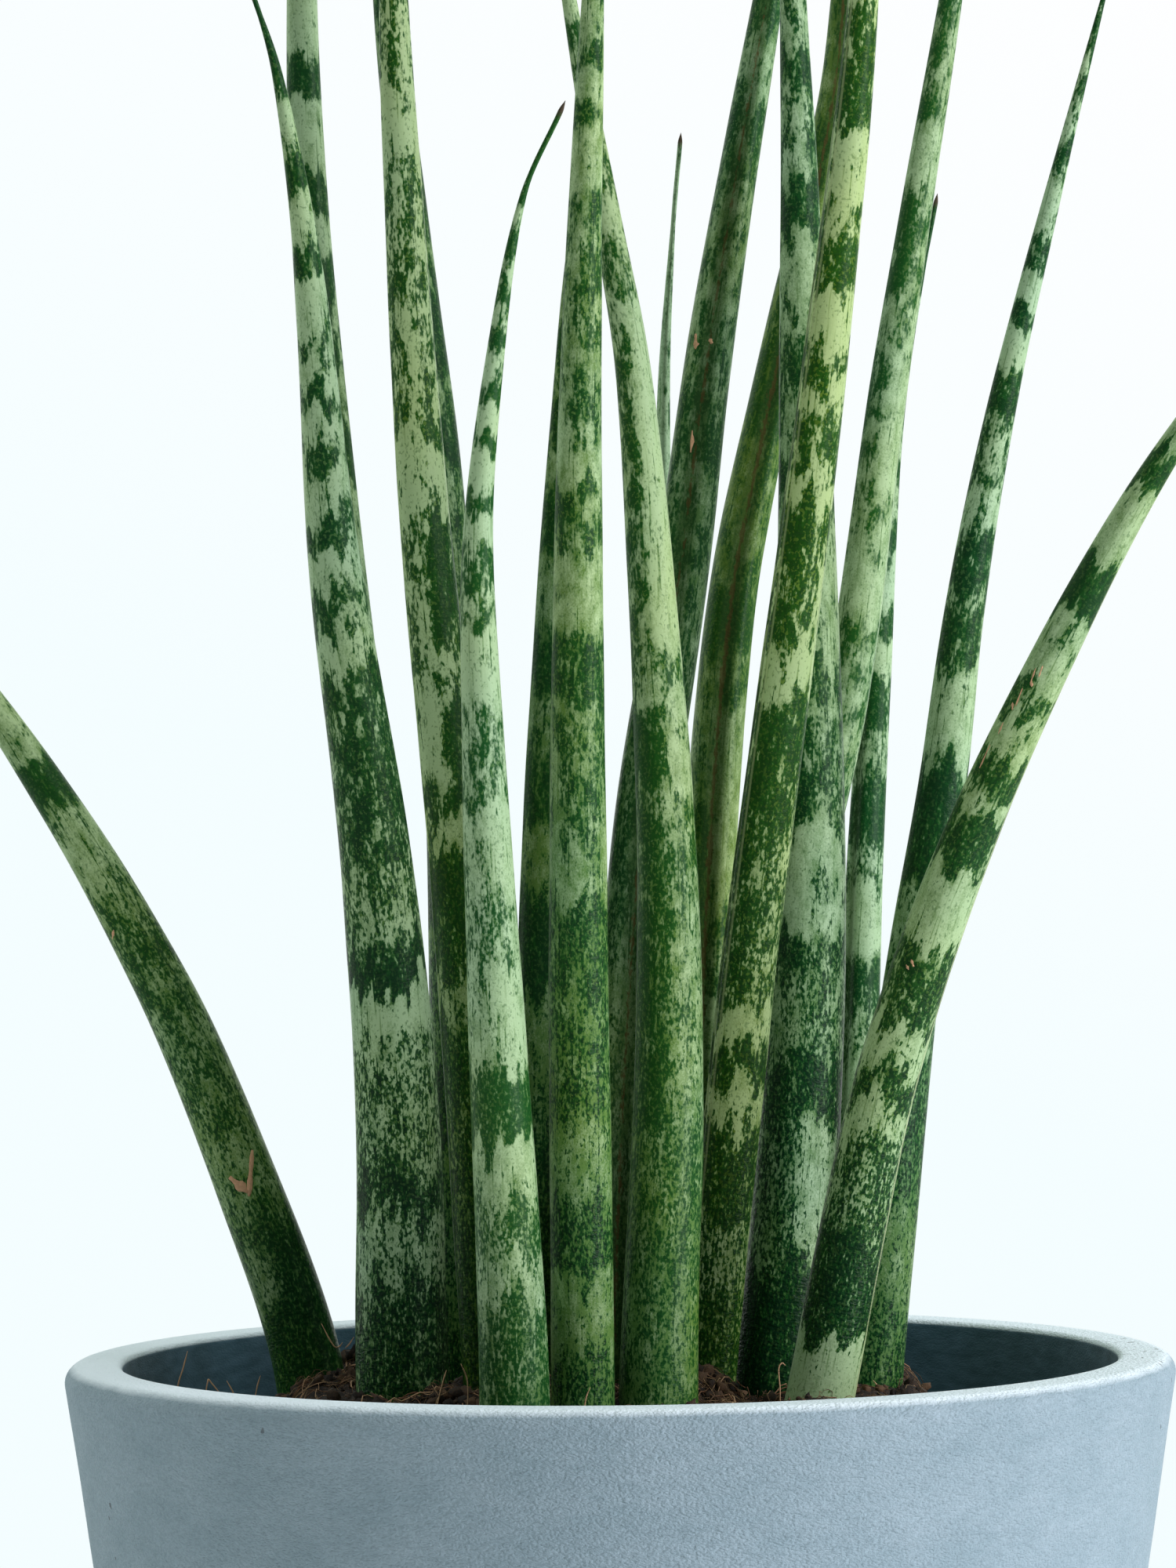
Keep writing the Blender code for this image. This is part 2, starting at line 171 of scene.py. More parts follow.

# %% [markdown]
# ## The bands
#
# The dark green lies in uneven bands on a pale ground. We paint each leaf: a ground, which says how much
# dark fleck the whole leaf carries, and then bands, each from one distance above the leaf's foot to
# another, with the share of dark in it. A value near 0 makes a clean pale band. A fourth number, where
# there is one, draws the band to a side, as seen from the front: -1 is the left side alone and 1 the
# right side alone.

# %% How dark each leaf is, and where
# Some bands also hold painted shade: dark bands drawn to the left side, away from the light, and very dark
# feet such as leaf_15's.
BANDS = {
    "leaf_01": (0.47, [
        (0, 58, 0.86), (45, 56, 0.4, -1), (58, 64, 0.75, 0.4), (64, 76, 0.46), (76, 98, 0.58),
        (98, 110, 0.66, -0.4), (110, 123, 0.62), (125, 141, 0.36), (142, 153, 0.9), (154, 168, 0.3),
        (168, 176, 0.8), (184, 190, 0.8), (197, 203, 0.85), (210, 222, 0.9),
    ]),
    "leaf_02": (0.46, [
        (0, 51, 0.78), (50, 62, 0.44, -0.6), (62, 71, 0.86), (71, 95, 0.52), (95, 103, 0.1),
        (103, 110, 0.95), (111, 124, 0.5), (124, 151, 0.72), (152, 159, 0.8), (160, 166, 0.3),
        (167, 174, 0.7, -0.5), (174, 180, 0.2), (180, 187, 0.75, -0.4), (187, 193, 0.2),
        (193, 198, 0.7, -0.5), (198, 203, 0.2), (203, 208, 0.75, -0.3), (208, 213, 0.25), (213, 217, 0.6),
        (217, 227, 0.2), (227, 233, 0.8), (233, 241, 0.2), (242, 248, 0.85), (249, 257, 0.2),
        (257, 290, 0.8),
    ]),
    "leaf_03": (0.4, [
        (0, 60, 0.7), (100, 112, 0.85), (150, 160, 0.8), (190, 200, 0.85), (212, 220, 0.8), (224, 233, 0.9),
        (233, 240, 0.08), (240, 248, 0.85), (248, 262, 0.1), (262, 271, 0.85), (271, 284, 0.12),
        (286, 292, 0.85), (300, 305, 0.85), (313, 318, 0.85), (326, 331, 0.9), (340, 345, 0.9),
        (352, 390, 0.85),
    ]),
    "leaf_04": (0.55, [
        (0, 40, 0.8), (70, 84, 0.85), (110, 122, 0.85), (150, 166, 0.85), (196, 206, 0.85), (214, 232, 0.8),
        (246, 254, 0.85), (262, 272, 0.85), (284, 291, 0.85), (304, 310, 0.85), (322, 328, 0.9),
        (340, 372, 0.85),
    ]),
    "leaf_05": (0.5, [
        (0, 58, 0.78), (58, 83, 0.68), (83, 97, 0.8), (97, 103, 0.34), (103, 114, 0.72), (114, 126, 0.87),
        (126, 131, 0.3, 0.3), (131, 137, 0.86), (137, 151, 0.2), (137, 151, 0.84, 1), (151, 162, 0.42),
        (160, 184, 0.86, 0.8), (163, 186, 0.48, -1), (185, 200, 0.26), (199, 212, 0.56, 0.5),
        (212, 232, 0.6, -0.6), (233, 248, 0.54, -0.8), (250, 261, 0.2), (261, 270, 0.6, -1),
        (272, 281, 0.6), (281, 290, 0.15), (291, 298, 0.8), (306, 312, 0.8), (320, 326, 0.85),
        (333, 339, 0.85), (346, 368, 0.85),
    ]),
    "leaf_06": (0.38, [
        (0, 49, 0.69), (49, 57, 0.24, 0.5), (56, 68, 0.68, 0.5), (70, 78, 0.15), (77, 90, 0.9, 0.2),
        (90, 107, 0.14), (92, 107, 0.34, -1), (107, 118, 0.6, -0.5), (118, 134, 0.24), (112, 140, 0.42, -1),
        (136, 152, 0.52), (152, 165, 0.14), (165, 170, 0.6), (171, 179, 0.75), (179, 184, 0.15),
        (184, 189, 0.8), (189, 195, 0.15), (195, 199, 0.85), (199, 203, 0.15), (203, 207, 0.85),
        (207, 212, 0.2), (212, 215, 0.8), (215, 219, 0.25), (219, 222, 0.8), (222, 227, 0.35),
        (227, 231, 0.8), (231, 236, 0.5), (236, 260, 0.85),
    ]),
    "leaf_07": (0.5, [
        (0, 70, 0.8), (84, 98, 0.3), (99, 116, 0.9), (118, 128, 0.35), (130, 141, 0.88), (143, 152, 0.4),
        (154, 164, 0.85), (166, 176, 0.35), (177, 187, 0.85), (198, 206, 0.8), (214, 220, 0.8),
        (228, 233, 0.85), (240, 260, 0.85),
    ]),
    "leaf_08": (0.46, [
        (0, 39, 0.66), (40, 52, 0.26), (52, 66, 0.72), (66, 79, 0.3), (80, 100, 0.62), (100, 118, 0.68),
        (118, 130, 0.32), (132, 150, 0.55), (150, 164, 0.68), (164, 176, 0.26), (178, 190, 0.66, -0.3),
        (190, 199, 0.25), (200, 216, 0.52), (222, 240, 0.58), (240, 249, 0.25), (249, 254, 0.6),
        (254, 260, 0.25), (260, 265, 0.6), (265, 271, 0.3), (273, 278, 0.8), (284, 289, 0.85),
        (296, 300, 0.85), (306, 330, 0.85),
    ]),
    "leaf_09": (0.52, [
        (0, 60, 0.75), (92, 106, 0.4), (120, 140, 0.65), (150, 160, 0.45), (176, 190, 0.6),
        (196, 208, 0.66), (222, 232, 0.42), (236, 246, 0.45), (248, 262, 0.62), (264, 272, 0.35),
        (276, 284, 0.7), (296, 304, 0.75), (316, 322, 0.8), (332, 338, 0.85), (346, 370, 0.85),
    ]),
    "leaf_10": (0.5, [
        (28, 46, 0.55), (48, 76, 0.61), (76, 118, 0.42), (76, 118, 0.8, -1), (118, 134, 0.66, -0.4),
        (134, 150, 0.3), (134, 150, 0.84, -1), (150, 160, 0.5, -0.3), (160, 224, 0.85, -1),
        (160, 224, 0.12, 0.7), (222, 236, 0.6), (236, 241, 0.2), (241, 247, 0.6), (255, 260, 0.7),
        (268, 273, 0.8), (281, 286, 0.85), (293, 298, 0.85), (304, 325, 0.85),
    ]),
    "leaf_11": (0.3, [(0, 50, 0.75), (80, 92, 0.7), (120, 130, 0.6), (156, 164, 0.5)]),
    "leaf_12": (0.6, [
        (0, 60, 0.75), (84, 98, 0.3), (98, 110, 0.62), (112, 128, 0.8, -1), (112, 150, 0.16, 1),
        (140, 152, 0.4, -1), (160, 172, 0.82), (180, 196, 0.5), (204, 218, 0.85), (232, 244, 0.78),
        (256, 264, 0.8), (270, 280, 0.4), (284, 292, 0.8), (306, 312, 0.85), (326, 332, 0.85),
        (342, 362, 0.85),
    ]),
    "leaf_13": (0.5, [
        (0, 46, 0.76), (46, 57, 0.56), (60, 78, 0.82), (78, 84, 0.25), (84, 92, 0.85), (92, 98, 0.12),
        (98, 134, 0.7, -0.5), (134, 154, 0.85, -0.3), (155, 162, 0.12, 0.3), (163, 174, 0.66, -0.7),
        (176, 188, 0.74, -0.6), (188, 193, 0.3), (193, 204, 0.72), (204, 210, 0.3), (209, 216, 0.66, -0.5),
        (216, 224, 0.14), (224, 240, 0.66), (240, 252, 0.2), (252, 274, 0.72), (276, 286, 0.2),
        (286, 293, 0.85), (301, 307, 0.85), (315, 320, 0.85), (328, 333, 0.85), (341, 362, 0.85),
    ]),
    "leaf_14": (0.36, [
        (0, 50, 0.7), (66, 78, 0.7), (96, 110, 0.7), (126, 140, 0.6), (146, 158, 0.5),
        (156, 168, 0.7, -0.6), (168, 178, 0.12), (179, 190, 0.38), (192, 216, 0.62, -1),
        (192, 216, 0.12, 1), (227, 249, 0.8, -0.6), (251, 261, 0.15), (262, 286, 0.68, -0.5),
        (286, 294, 0.7), (304, 310, 0.75), (322, 328, 0.8), (340, 346, 0.85), (354, 372, 0.85),
    ]),
    "leaf_15": (0.48, [
        (0, 50, 0.95), (50, 75, 0.26), (50, 75, 0.64, -1), (75, 89, 0.86, 0.2), (89, 102, 0.54),
        (102, 113, 0.76, -0.5), (112, 127, 0.06), (115, 121, 0.5, 1), (127, 151, 0.76, -0.6),
        (151, 161, 0.6), (162, 180, 0.3), (184, 196, 0.8), (206, 214, 0.75), (222, 232, 0.25),
        (236, 246, 0.78), (262, 269, 0.82), (282, 289, 0.82), (300, 306, 0.85), (316, 321, 0.85),
        (330, 355, 0.85),
    ]),
    "leaf_16": (0.32, [
        (0, 60, 0.7), (90, 104, 0.8), (130, 142, 0.75), (170, 180, 0.8), (206, 214, 0.7), (228, 244, 0.12),
        (245, 251, 0.66, -0.5), (252, 257, 0.15), (258, 264, 0.66, -0.4), (265, 277, 0.12),
        (278, 285, 0.85), (296, 302, 0.8), (312, 317, 0.85), (328, 350, 0.85),
    ]),
    "leaf_17": (0.42, [
        (0, 24, 0.7), (24, 40, 0.08), (41, 60, 0.9), (60, 78, 0.68, 0.25), (78, 84, 0.3), (84, 91, 0.75),
        (91, 98, 0.2), (98, 113, 0.76), (113, 126, 0.1), (127, 138, 0.78), (138, 142, 0.3),
        (142, 150, 0.78, -0.2), (150, 156, 0.14), (156, 163, 0.66, -0.8), (163, 175, 0.18), (175, 187, 0.9),
        (188, 200, 0.12), (200, 208, 0.8), (209, 217, 0.15), (218, 224, 0.9), (230, 235, 0.9),
        (241, 265, 0.88),
    ]),
    "leaf_18": (0.4, [
        (0, 60, 0.7), (75, 84, 0.1), (84, 92, 0.5), (94, 104, 0.85), (104, 118, 0.1), (118, 124, 0.5),
        (125, 136, 0.85), (137, 146, 0.55), (148, 158, 0.82), (158, 165, 0.12), (165, 172, 0.8),
        (172, 180, 0.1), (182, 188, 0.8), (196, 201, 0.8), (209, 214, 0.85), (222, 227, 0.85),
        (235, 256, 0.85),
    ]),
    "leaf_19": (0.42, [
        (0, 44, 0.62), (44, 58, 0.4), (60, 90, 0.7), (120, 142, 0.93), (143, 157, 0.22), (158, 182, 0.78),
        (182, 190, 0.4), (190, 203, 0.58), (203, 212, 0.88), (212, 219, 0.1), (219, 223, 0.85),
        (223, 230, 0.1), (230, 237, 0.8), (237, 248, 0.35), (250, 255, 0.7), (261, 266, 0.75),
        (270, 300, 0.85),
    ]),
}
print(sum(len(bands) for _, bands in BANDS.values()), "bands")

# %% [markdown]
# A dark band hangs: its lower edge is sharp and its upper edge thins out. Both are soft over some
# millimetres here. The material breaks them up into teeth and flecks later, so this value is only how
# likely dark is at a spot.

# %% The share of dark at a spot
SHARP_EDGE = 1.4
THIN_EDGE = 4.5
SIDE_TURN = 1.6


def rise(value):
    """A smooth step from 0 to 1."""
    value = min(max(value, 0.0), 1.0)
    return value * value * (3 - 2 * value)


def darkness(name, distance, across):
    """The share of dark at a distance above the foot. Across is -1 on the left and 1 on the right."""
    ground, bands = BANDS[name]
    share = ground
    for low, high, value, *given_side in bands:
        side = sum(given_side)
        foot, head = (SHARP_EDGE, THIN_EDGE) if value > ground else (THIN_EDGE, SHARP_EDGE)
        half = (high - low) * 0.5
        inside = rise((distance - low) / min(foot, half) + 0.5)
        inside *= rise((high - distance) / min(head, half) + 0.5)
        # Dark bands drawn to the left side also paint the shade on the leaves' left sides.
        favour = 1 - abs(side) + abs(side) * rise(0.5 + SIDE_TURN * across * math.copysign(1, side))
        share += (value - share) * inside * favour
    return share


print("leaf_17 goes from", round(darkness("leaf_17", 30, 0), 2), "to", round(darkness("leaf_17", 50, 0), 2))

# %% [markdown]
# ## Where a leaf runs
#
# The centre line is the same smooth curve that the plain leaf was made on, read at even steps. Each ring
# stands square to the line, with its channel turned the way that the leaf says.

# %% The centre line
CURVE_STEPS = 32


def smooth(knots, steps):
    """Points on a smooth curve through the knots, with so many steps from each knot to the next."""
    fine = []
    for i, (start, end) in enumerate(zip(knots, knots[1:])):
        reach = (end - start).length / 3
        way_out = (end - knots[max(i - 1, 0)]).normalized() * reach
        way_in = (knots[min(i + 2, len(knots) - 1)] - start).normalized() * reach
        fine += interpolate_bezier(start, start + way_out, end - way_in, end, steps + 1)[:-1]
    return fine + [knots[-1]]


def centre_line(points, steps):
    """Evenly spaced points on the curve through a leaf's points, in metres, and the curve's length."""
    fine = smooth([Vector((x, y, POT_HEIGHT + z)) * MM for x, y, z in points], CURVE_STEPS)
    along = [0.0]
    for before, after in zip(fine, fine[1:]):
        along.append(along[-1] + (after - before).length)
    even = []
    at = 0
    for i in range(steps + 1):
        wanted = along[-1] * i / steps
        while at < len(fine) - 2 and along[at + 1] < wanted:
            at += 1
        share = (wanted - along[at]) / (along[at + 1] - along[at])
        even.append(fine[at].lerp(fine[at + 1], share))
    return even, along[-1]


LENGTHS = {name: centre_line(points, 1)[1] / MM for name, (*_, points) in LEAVES.items()}
print("leaf lengths in mm:", [round(length) for length in LENGTHS.values()])

# %% [markdown]
# ## Making meshes
#
# Every piece here is a mesh from points and faces, shaded smooth. Values that the materials need at each
# point, such as the share of dark, are noted on the mesh as attributes, because they go wherever the mesh
# goes. Leaves, pot, compost, crumbs and fibres are all rings of points, so one function makes the faces
# of them all.

# %% A piece and its notes
def new_piece(name, points, faces, **notes):
    """A smooth mesh from points in metres. Each note holds a value, or a vector, for every point."""
    mesh = bpy.data.meshes.new(name)
    mesh.from_pydata(points, [], faces)
    mesh.shade_smooth()
    for key, values in notes.items():
        if isinstance(values[0], tuple):
            layer = mesh.attributes.new(key, "FLOAT_VECTOR", "POINT")
            layer.data.foreach_set("vector", [part for vector in values for part in vector])
        else:
            layer = mesh.attributes.new(key, "FLOAT", "POINT")
            layer.data.foreach_set("value", values)
    piece = bpy.data.objects.new(name, mesh)
    bpy.context.scene.collection.objects.link(piece)
    return piece


def wear(piece, material):
    """Gives a piece its material, its body and the slot that its finish comes from."""
    piece.data.materials.append(material)
    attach(piece, "root")


def tube(rings, sides, start=0):
    """Faces of a closed tube whose points are listed ring by ring: the quads, then a cap at each end."""
    faces = []
    for i in range(rings - 1):
        for j in range(sides):
            k = (j + 1) % sides
            faces.append((i * sides + j, i * sides + k, (i + 1) * sides + k, (i + 1) * sides + j))
    faces.append(tuple(reversed(range(sides))))
    faces.append(tuple(range((rings - 1) * sides, rings * sides)))
    return [tuple(start + corner for corner in face) for face in faces]


print(len(tube(3, 8)), "faces on a tube of three rings of eight")

# %% [markdown]
# ## The skin of a leaf, as a shape
#
# The plain leaf has twelve sides. The fine one has forty-eight, with a round-bottomed channel between two
# lips in place of a pressed corner, and a skin that swells and sinks by a tenth of a millimetre, as a
# fleshy leaf does. The tip ends in the small hard point that the plant is known for.

# %% Numbers of the fine leaf
LEAF_SIDES = 48
RING_STEP = 1.5
CHANNEL_DEPTH = 0.26
CHANNEL_FADE = 0.8
CHANNEL_HALF = 33.0
LIP_AT = 40.0
LIP_PEAK = 1.1
LIP_SPREAD = 0.22
LIP_HEIGHT = 0.008
SWELL = 0.13
SWELL_WIDTH = 5
SWELL_LENGTH = 21
POINT_WIDTH = 0.9
SPINE_LENGTH = 2.0
SPINE_RINGS = 5


def leaf_radius(name, share):
    """The leaf's radius at a share of its length from the foot."""
    width, taper, *_ = LEAVES[name]
    return max(width * (1 - share**taper), POINT_WIDTH) / 2


def pressed_in(turn, share):
    """How much of the radius the channel takes away, at an angle from its middle in degrees."""
    deep = CHANNEL_DEPTH * min((1 - share) / CHANNEL_FADE, 1)
    away = abs(turn) / CHANNEL_HALF
    groove = 0.5 + 0.5 * math.cos(math.pi * min(away, 1))
    lip = math.exp(-(((away - LIP_PEAK) / LIP_SPREAD) ** 2))
    return deep * groove - LIP_HEIGHT * lip * deep / CHANNEL_DEPTH


print("channel in a 12 mm leaf:", round(6 * pressed_in(0, 0.2), 2), "mm deep")

# %% [markdown]
# The rings carry what the material wants to know: where the spot lies on the straightened leaf, how dark
# it is, how far it is from the channel's lip, from its middle and from the tip, and how pale and warm its
# green is. The bands are read a little higher or lower at each spot, so that their edges hang down in
# long drips.
#
# A leaf's look is five numbers: how warm its green is, how pale its ground is at the foot and higher up,
# how deep its dark gets, and how crisp the dark's edge is. The ground is less pale at the foot as painted
# shade from the crowded leaves and the compost, and leaf_04, leaf_07 and leaf_08 are darker low down as
# painted shadow from their neighbours. Near the foot the flecks are finer and the dark deeper, which
# low_down tells.

# %% One fine leaf
LEAF_SPACING = 41.0
LOOKS = {
    "leaf_01": (0.50, 0.36, 0.85, 0.72, 3.6),
    "leaf_02": (0.25, 0.80, 0.90, 0.95, 5.0),
    "leaf_03": (0.30, 0.50, 0.85, 0.70, 3.5),
    "leaf_04": (0.40, 0.05, 0.60, 0.90, 4.0),
    "leaf_05": (0.68, 0.22, 1.34, 0.80, 5.0),
    "leaf_06": (0.28, 0.60, 1.18, 0.40, 3.2),
    "leaf_07": (0.40, 0.05, 0.40, 0.80, 3.5),
    "leaf_08": (0.50, 0.19, 0.60, 0.90, 4.0),
    "leaf_09": (0.30, 0.35, 0.50, 0.60, 3.5),
    "leaf_10": (0.52, 0.25, 1.00, 0.52, 3.6),
    "leaf_11": (0.00, 0.60, 0.90, 0.30, 2.5),
    "leaf_12": (0.80, 0.70, 0.25, 0.50, 2.8),
    "leaf_13": (0.92, 0.74, 1.12, 0.80, 5.0),
    "leaf_14": (0.30, 0.50, 0.76, 0.20, 3.4),
    "leaf_15": (0.22, 0.62, 0.74, 0.95, 4.5),
    "leaf_16": (0.40, 0.50, 0.95, 0.60, 3.0),
    "leaf_17": (0.45, 0.95, 0.60, 0.90, 5.0),
    "leaf_18": (0.10, 0.70, 1.00, 0.60, 3.0),
    "leaf_19": (0.12, 0.12, 1.00, 0.92, 4.5),
}
PALE_BY = 230.0
FINE_BELOW = 50.0
FINE_FADE = 120.0
# Leaves whose channel lips carry a painted highlight, and how strongly.
LIP_HIGHLIGHT_SHOWS = {"leaf_17": 1.0, "leaf_13": 0.6, "leaf_10": 0.5}
GROOVE_SHOWS = {"leaf_12": 1.0, "leaf_09": 0.92}
GROOVE_ELSEWHERE = 0.7
DRIPS = [(1.7, 15, 0, 1.15), (5, 24, 40, 0.8)]
DRIP_LIMIT = 6.5


def drip(x, y, z, radius):
    """How far a band's edge is pulled up or down at a spot of the straightened leaf, in millimetres."""
    pull = 0
    for wide, tall, shift, reach in DRIPS:
        pull += reach * noise.noise(Vector((x / wide, y / wide, z / tall + shift)))
    return pull * min(radius, DRIP_LIMIT)


def ring_frame(name, spots, i):
    """The ring's own directions: along the leaf, towards the channel's middle, and across."""
    _, _, way, _ = LEAVES[name]
    facing = Vector((math.cos(math.radians(way)), math.sin(math.radians(way)), 0))
    along = (spots[min(i + 1, len(spots) - 1)] - spots[max(i - 1, 0)]).normalized()
    front = (facing - along * facing.dot(along)).normalized()
    return along, front, along.cross(front)


def fine_leaf(name, number):
    """A leaf's mesh: rings along its line, then the hard point, and what the material wants to know."""
    length = LENGTHS[name]
    rings = round(length / RING_STEP)
    rows = rings + 1 + SPINE_RINGS
    spots, _ = centre_line(LEAVES[name][3], rings)
    warmth, pale_and_shade_at_foot, at_head, deepness, crispness = LOOKS[name]
    points, notes = [], {}
    for i in range(rows):
        share = min(i / rings, 1)
        beyond = max(i - rings, 0) / SPINE_RINGS
        along, front, side = ring_frame(name, spots, min(i, rings))
        spot = spots[min(i, rings)] + along * beyond * SPINE_LENGTH * MM
        radius = leaf_radius(name, share) * max(1 - beyond**1.5, 0.08)
        distance = length * share + beyond * SPINE_LENGTH
        for j in range(LEAF_SIDES):
            turn = 360 * j / LEAF_SIDES
            from_channel = (turn + 180) % 360 - 180
            angle = math.radians(turn)
            out = front * math.cos(angle) + side * math.sin(angle)
            x, y, z = radius * math.cos(angle), radius * math.sin(angle), distance + number * LEAF_SPACING
            lumps = noise.noise(Vector((x / SWELL_WIDTH, y / SWELL_WIDTH, z / SWELL_LENGTH)))
            reach = radius * (1 - pressed_in(from_channel, share)) + SWELL * lumps * min(radius / 3, 1)
            points.append(spot + out * reach * MM)
            told = {
                "straight": (x, y, z),
                "dark": darkness(name, distance + drip(x, y, z, radius), out.x),
                "margin": (abs(from_channel) - LIP_AT) * math.pi / 180 * radius,
                "groove": max(1 - abs(from_channel) / LIP_AT, 0) * GROOVE_SHOWS.get(name, GROOVE_ELSEWHERE),
                "to_tip": length + SPINE_LENGTH - distance,
                # The pale ground, with painted shade towards the foot.
                "pale": pale_and_shade_at_foot + (at_head - pale_and_shade_at_foot) * rise(distance / PALE_BY),
                "low_down": 1 - rise((distance - FINE_BELOW) / FINE_FADE),
                "warmth": warmth,
                "deepness": deepness,
                "crispness": crispness,
                "lip": LIP_HIGHLIGHT_SHOWS.get(name, 0.0),
            }
            for key, value in told.items():
                notes.setdefault(key, []).append(value)
    return new_piece(f"{name}_skin", points, tube(rows, LEAF_SIDES), **notes)


leaf_pieces = {name: fine_leaf(name, number) for number, name in enumerate(LEAVES)}
print("points in all leaves:", sum(len(leaf.data.vertices) for leaf in leaf_pieces.values()))

# %% [markdown]
# ## Shader maths as Python
#
# A material is a net of nodes, and its formulas are hard to read as a net. So we wrap a socket in a small
# class whose + - * add Math nodes: `1 - mask` then reads as it would on paper. Recipe is the net itself,
# with one method that adds any other node: its kind, its settings, and then the values or links of its
# sockets.

# %% Wire: a socket that takes part in arithmetic
class Wire:
    def __init__(self, recipe, socket):
        self.recipe = recipe
        self.socket = socket

    def math(self, operation, first, second=0.0, clamp=False):
        settings = {"operation": operation, "use_clamp": clamp}
        return self.recipe.node("Math", settings, {0: first, 1: second})

    def __add__(self, other):
        return self.math("ADD", self, other)

    def __radd__(self, other):
        return self.math("ADD", other, self)

    def __sub__(self, other):
        return self.math("SUBTRACT", self, other)

    def __rsub__(self, other):
        return self.math("SUBTRACT", other, self)

    def __mul__(self, other):
        return self.math("MULTIPLY", self, other)

    def __rmul__(self, other):
        return self.math("MULTIPLY", other, self)

    def clamped(self):
        return self.math("ADD", self, 0.0, clamp=True)

    def size(self):
        return self.math("ABSOLUTE", self)

    def most(self, other):
        return self.math("MAXIMUM", self, other)


print("a wire knows", [name for name in vars(Wire) if not name.startswith("__")])

# %% Recipe: a material, or the world, made by calls
class Recipe:
    def __init__(self, name, shelf=bpy.data.materials):
        self.product = shelf.new(name)
        self.product.use_nodes = True
        self.tree = self.product.node_tree

    def put(self, value, socket):
        """Links a wire to a socket, or writes a plain value into it."""
        if isinstance(value, Wire):
            self.tree.links.new(value.socket, socket)
        elif socket.type == "RGBA":
            socket.default_value = (*value[:3], 1.0)
        else:
            socket.default_value = value

    def node(self, kind, settings=None, inputs=None, output=0):
        """Adds a node: its kind, its settings, then the values or links of its sockets."""
        made = self.tree.nodes.new(f"ShaderNode{kind}")
        for key, value in (settings or {}).items():
            setattr(made, key, value)
        for key, value in (inputs or {}).items():
            self.put(value, made.inputs[key])
        return Wire(self, made.outputs[output])

    def finish(self, **sockets):
        """Sets the main shader's sockets: Base_Color stands for Base Color."""
        for key, value in sockets.items():
            self.put(value, self.tree.nodes["Principled BSDF"].inputs[key.replace("_", " ")])
        return self.product


print("a recipe can", [name for name in vars(Recipe) if not name.startswith("__")])

# %% [markdown]
# A few words that every finish needs: read an attribute, find the spot and make noise in millimetres,
# turn a value into a mask with a soft edge, lay one colour over another, and raise the skin. A finish
# lists its grains in rows: the size in millimetres, how many finer layers it has, and how many times
# longer it is along the third axis.

# %% Words for the recipes
def attribute(recipe, name, output="Fac"):
    return recipe.node("Attribute", {"attribute_name": name}, output=output)


def scaled(recipe, where, factors):
    return recipe.node("VectorMath", {"operation": "MULTIPLY"}, {0: where, 1: factors})


def in_millimetres(recipe):
    """The place of a spot on its own piece."""
    return scaled(recipe, recipe.node("TexCoord", output="Object"), (1 / MM, 1 / MM, 1 / MM))


def grain(recipe, where, size, detail, stretch=1.0):
    """Noise about 0, some 0.3 either way, in lumps of a size in millimetres, longer on the third axis."""
    spot = scaled(recipe, where, (1 / size, 1 / size, 1 / (size * stretch)))
    sockets = {"Vector": spot, "Scale": 1.0, "Detail": detail}
    made = recipe.node("TexNoise", {"noise_dimensions": "3D"}, sockets)
    return (made - 0.5) * 1.6


def grains(recipe, where, rows):
    """All the grains of a finish, in the order of its rows."""
    return [grain(recipe, where, *row) for row in rows.values()]


def above(value, level, softness):
    """A mask that is 1 where the value is over the level, with an edge of that softness."""
    return ((value - level) * (1 / softness) + 0.5).clamped()


def over(recipe, mask, below, top):
    """One colour over another, by a mask."""
    return recipe.node("Mix", {"data_type": "RGBA"}, {0: mask, 6: below, 7: top}, output=2)


def relief(recipe, height, depth, strength):
    """A Bump node: a height from 0 to 1 stands for a depth in millimetres."""
    return recipe.node("Bump", None, {"Height": height, "Distance": depth * MM, "Strength": strength})


print("words: attribute, scaled, in_millimetres, grain, grains, above, over, relief")

# %% [markdown]
# ## The leaf's colour
#
# Close up, the dark bands have edges like torn teeth that run along the leaf, and inside them the skin
# shows fine paler worms. The pale ground is a milky green with dark flecks. We add four grains to the
# share of dark, from coarse patches through long teeth to fine flecks and thin lines, and cut the sum at
# one half. So the bands stay where we painted them, and their edges look grown.

# %% Greens
PALE_COOL = (0.37, 0.545, 0.335)
PALE_WARM = (0.425, 0.56, 0.24)
OLIVE_COOL = (0.09, 0.21, 0.07)
OLIVE_WARM = (0.125, 0.22, 0.025)
MID_COOL = (0.011, 0.092, 0.019)
MID_WARM = (0.022, 0.110, 0.007)
DEEP_COOL = (0.0015, 0.021, 0.009)
DEEP_WARM = (0.003, 0.025, 0.003)
LIP_HIGHLIGHT = (0.42, 0.50, 0.24)
CHANNEL_SHADE = (0.02, 0.05, 0.012)
SEAM = (0.075, 0.05, 0.014)
PIN = (0.07, 0.055, 0.035)
print("the greens run from", DEEP_COOL, "to", PALE_COOL)

# %% Grains of the leaf
LEAF_GRAINS = {
    "patches": (2.9, 3.0, 2.0),
    "teeth": (0.9, 2.0, 3.4),
    "flecks": (0.52, 2.0, 2.0),
    "lines": (0.42, 0.0, 26.0),
    "tones": (17.0, 1.0, 2.0),
    "shades": (1.9, 4.0, 2.0),
    "pores": (0.26, 1.0, 1.3),
    "glints": (0.5, 1.0, 1.3),
    "dots": (0.45, 0.0, 1.4),
    "wrinkles": (1.2, 2.0, 0.4),
}
print("a leaf's finest grain:", min(size for size, *_ in LEAF_GRAINS.values()), "mm")

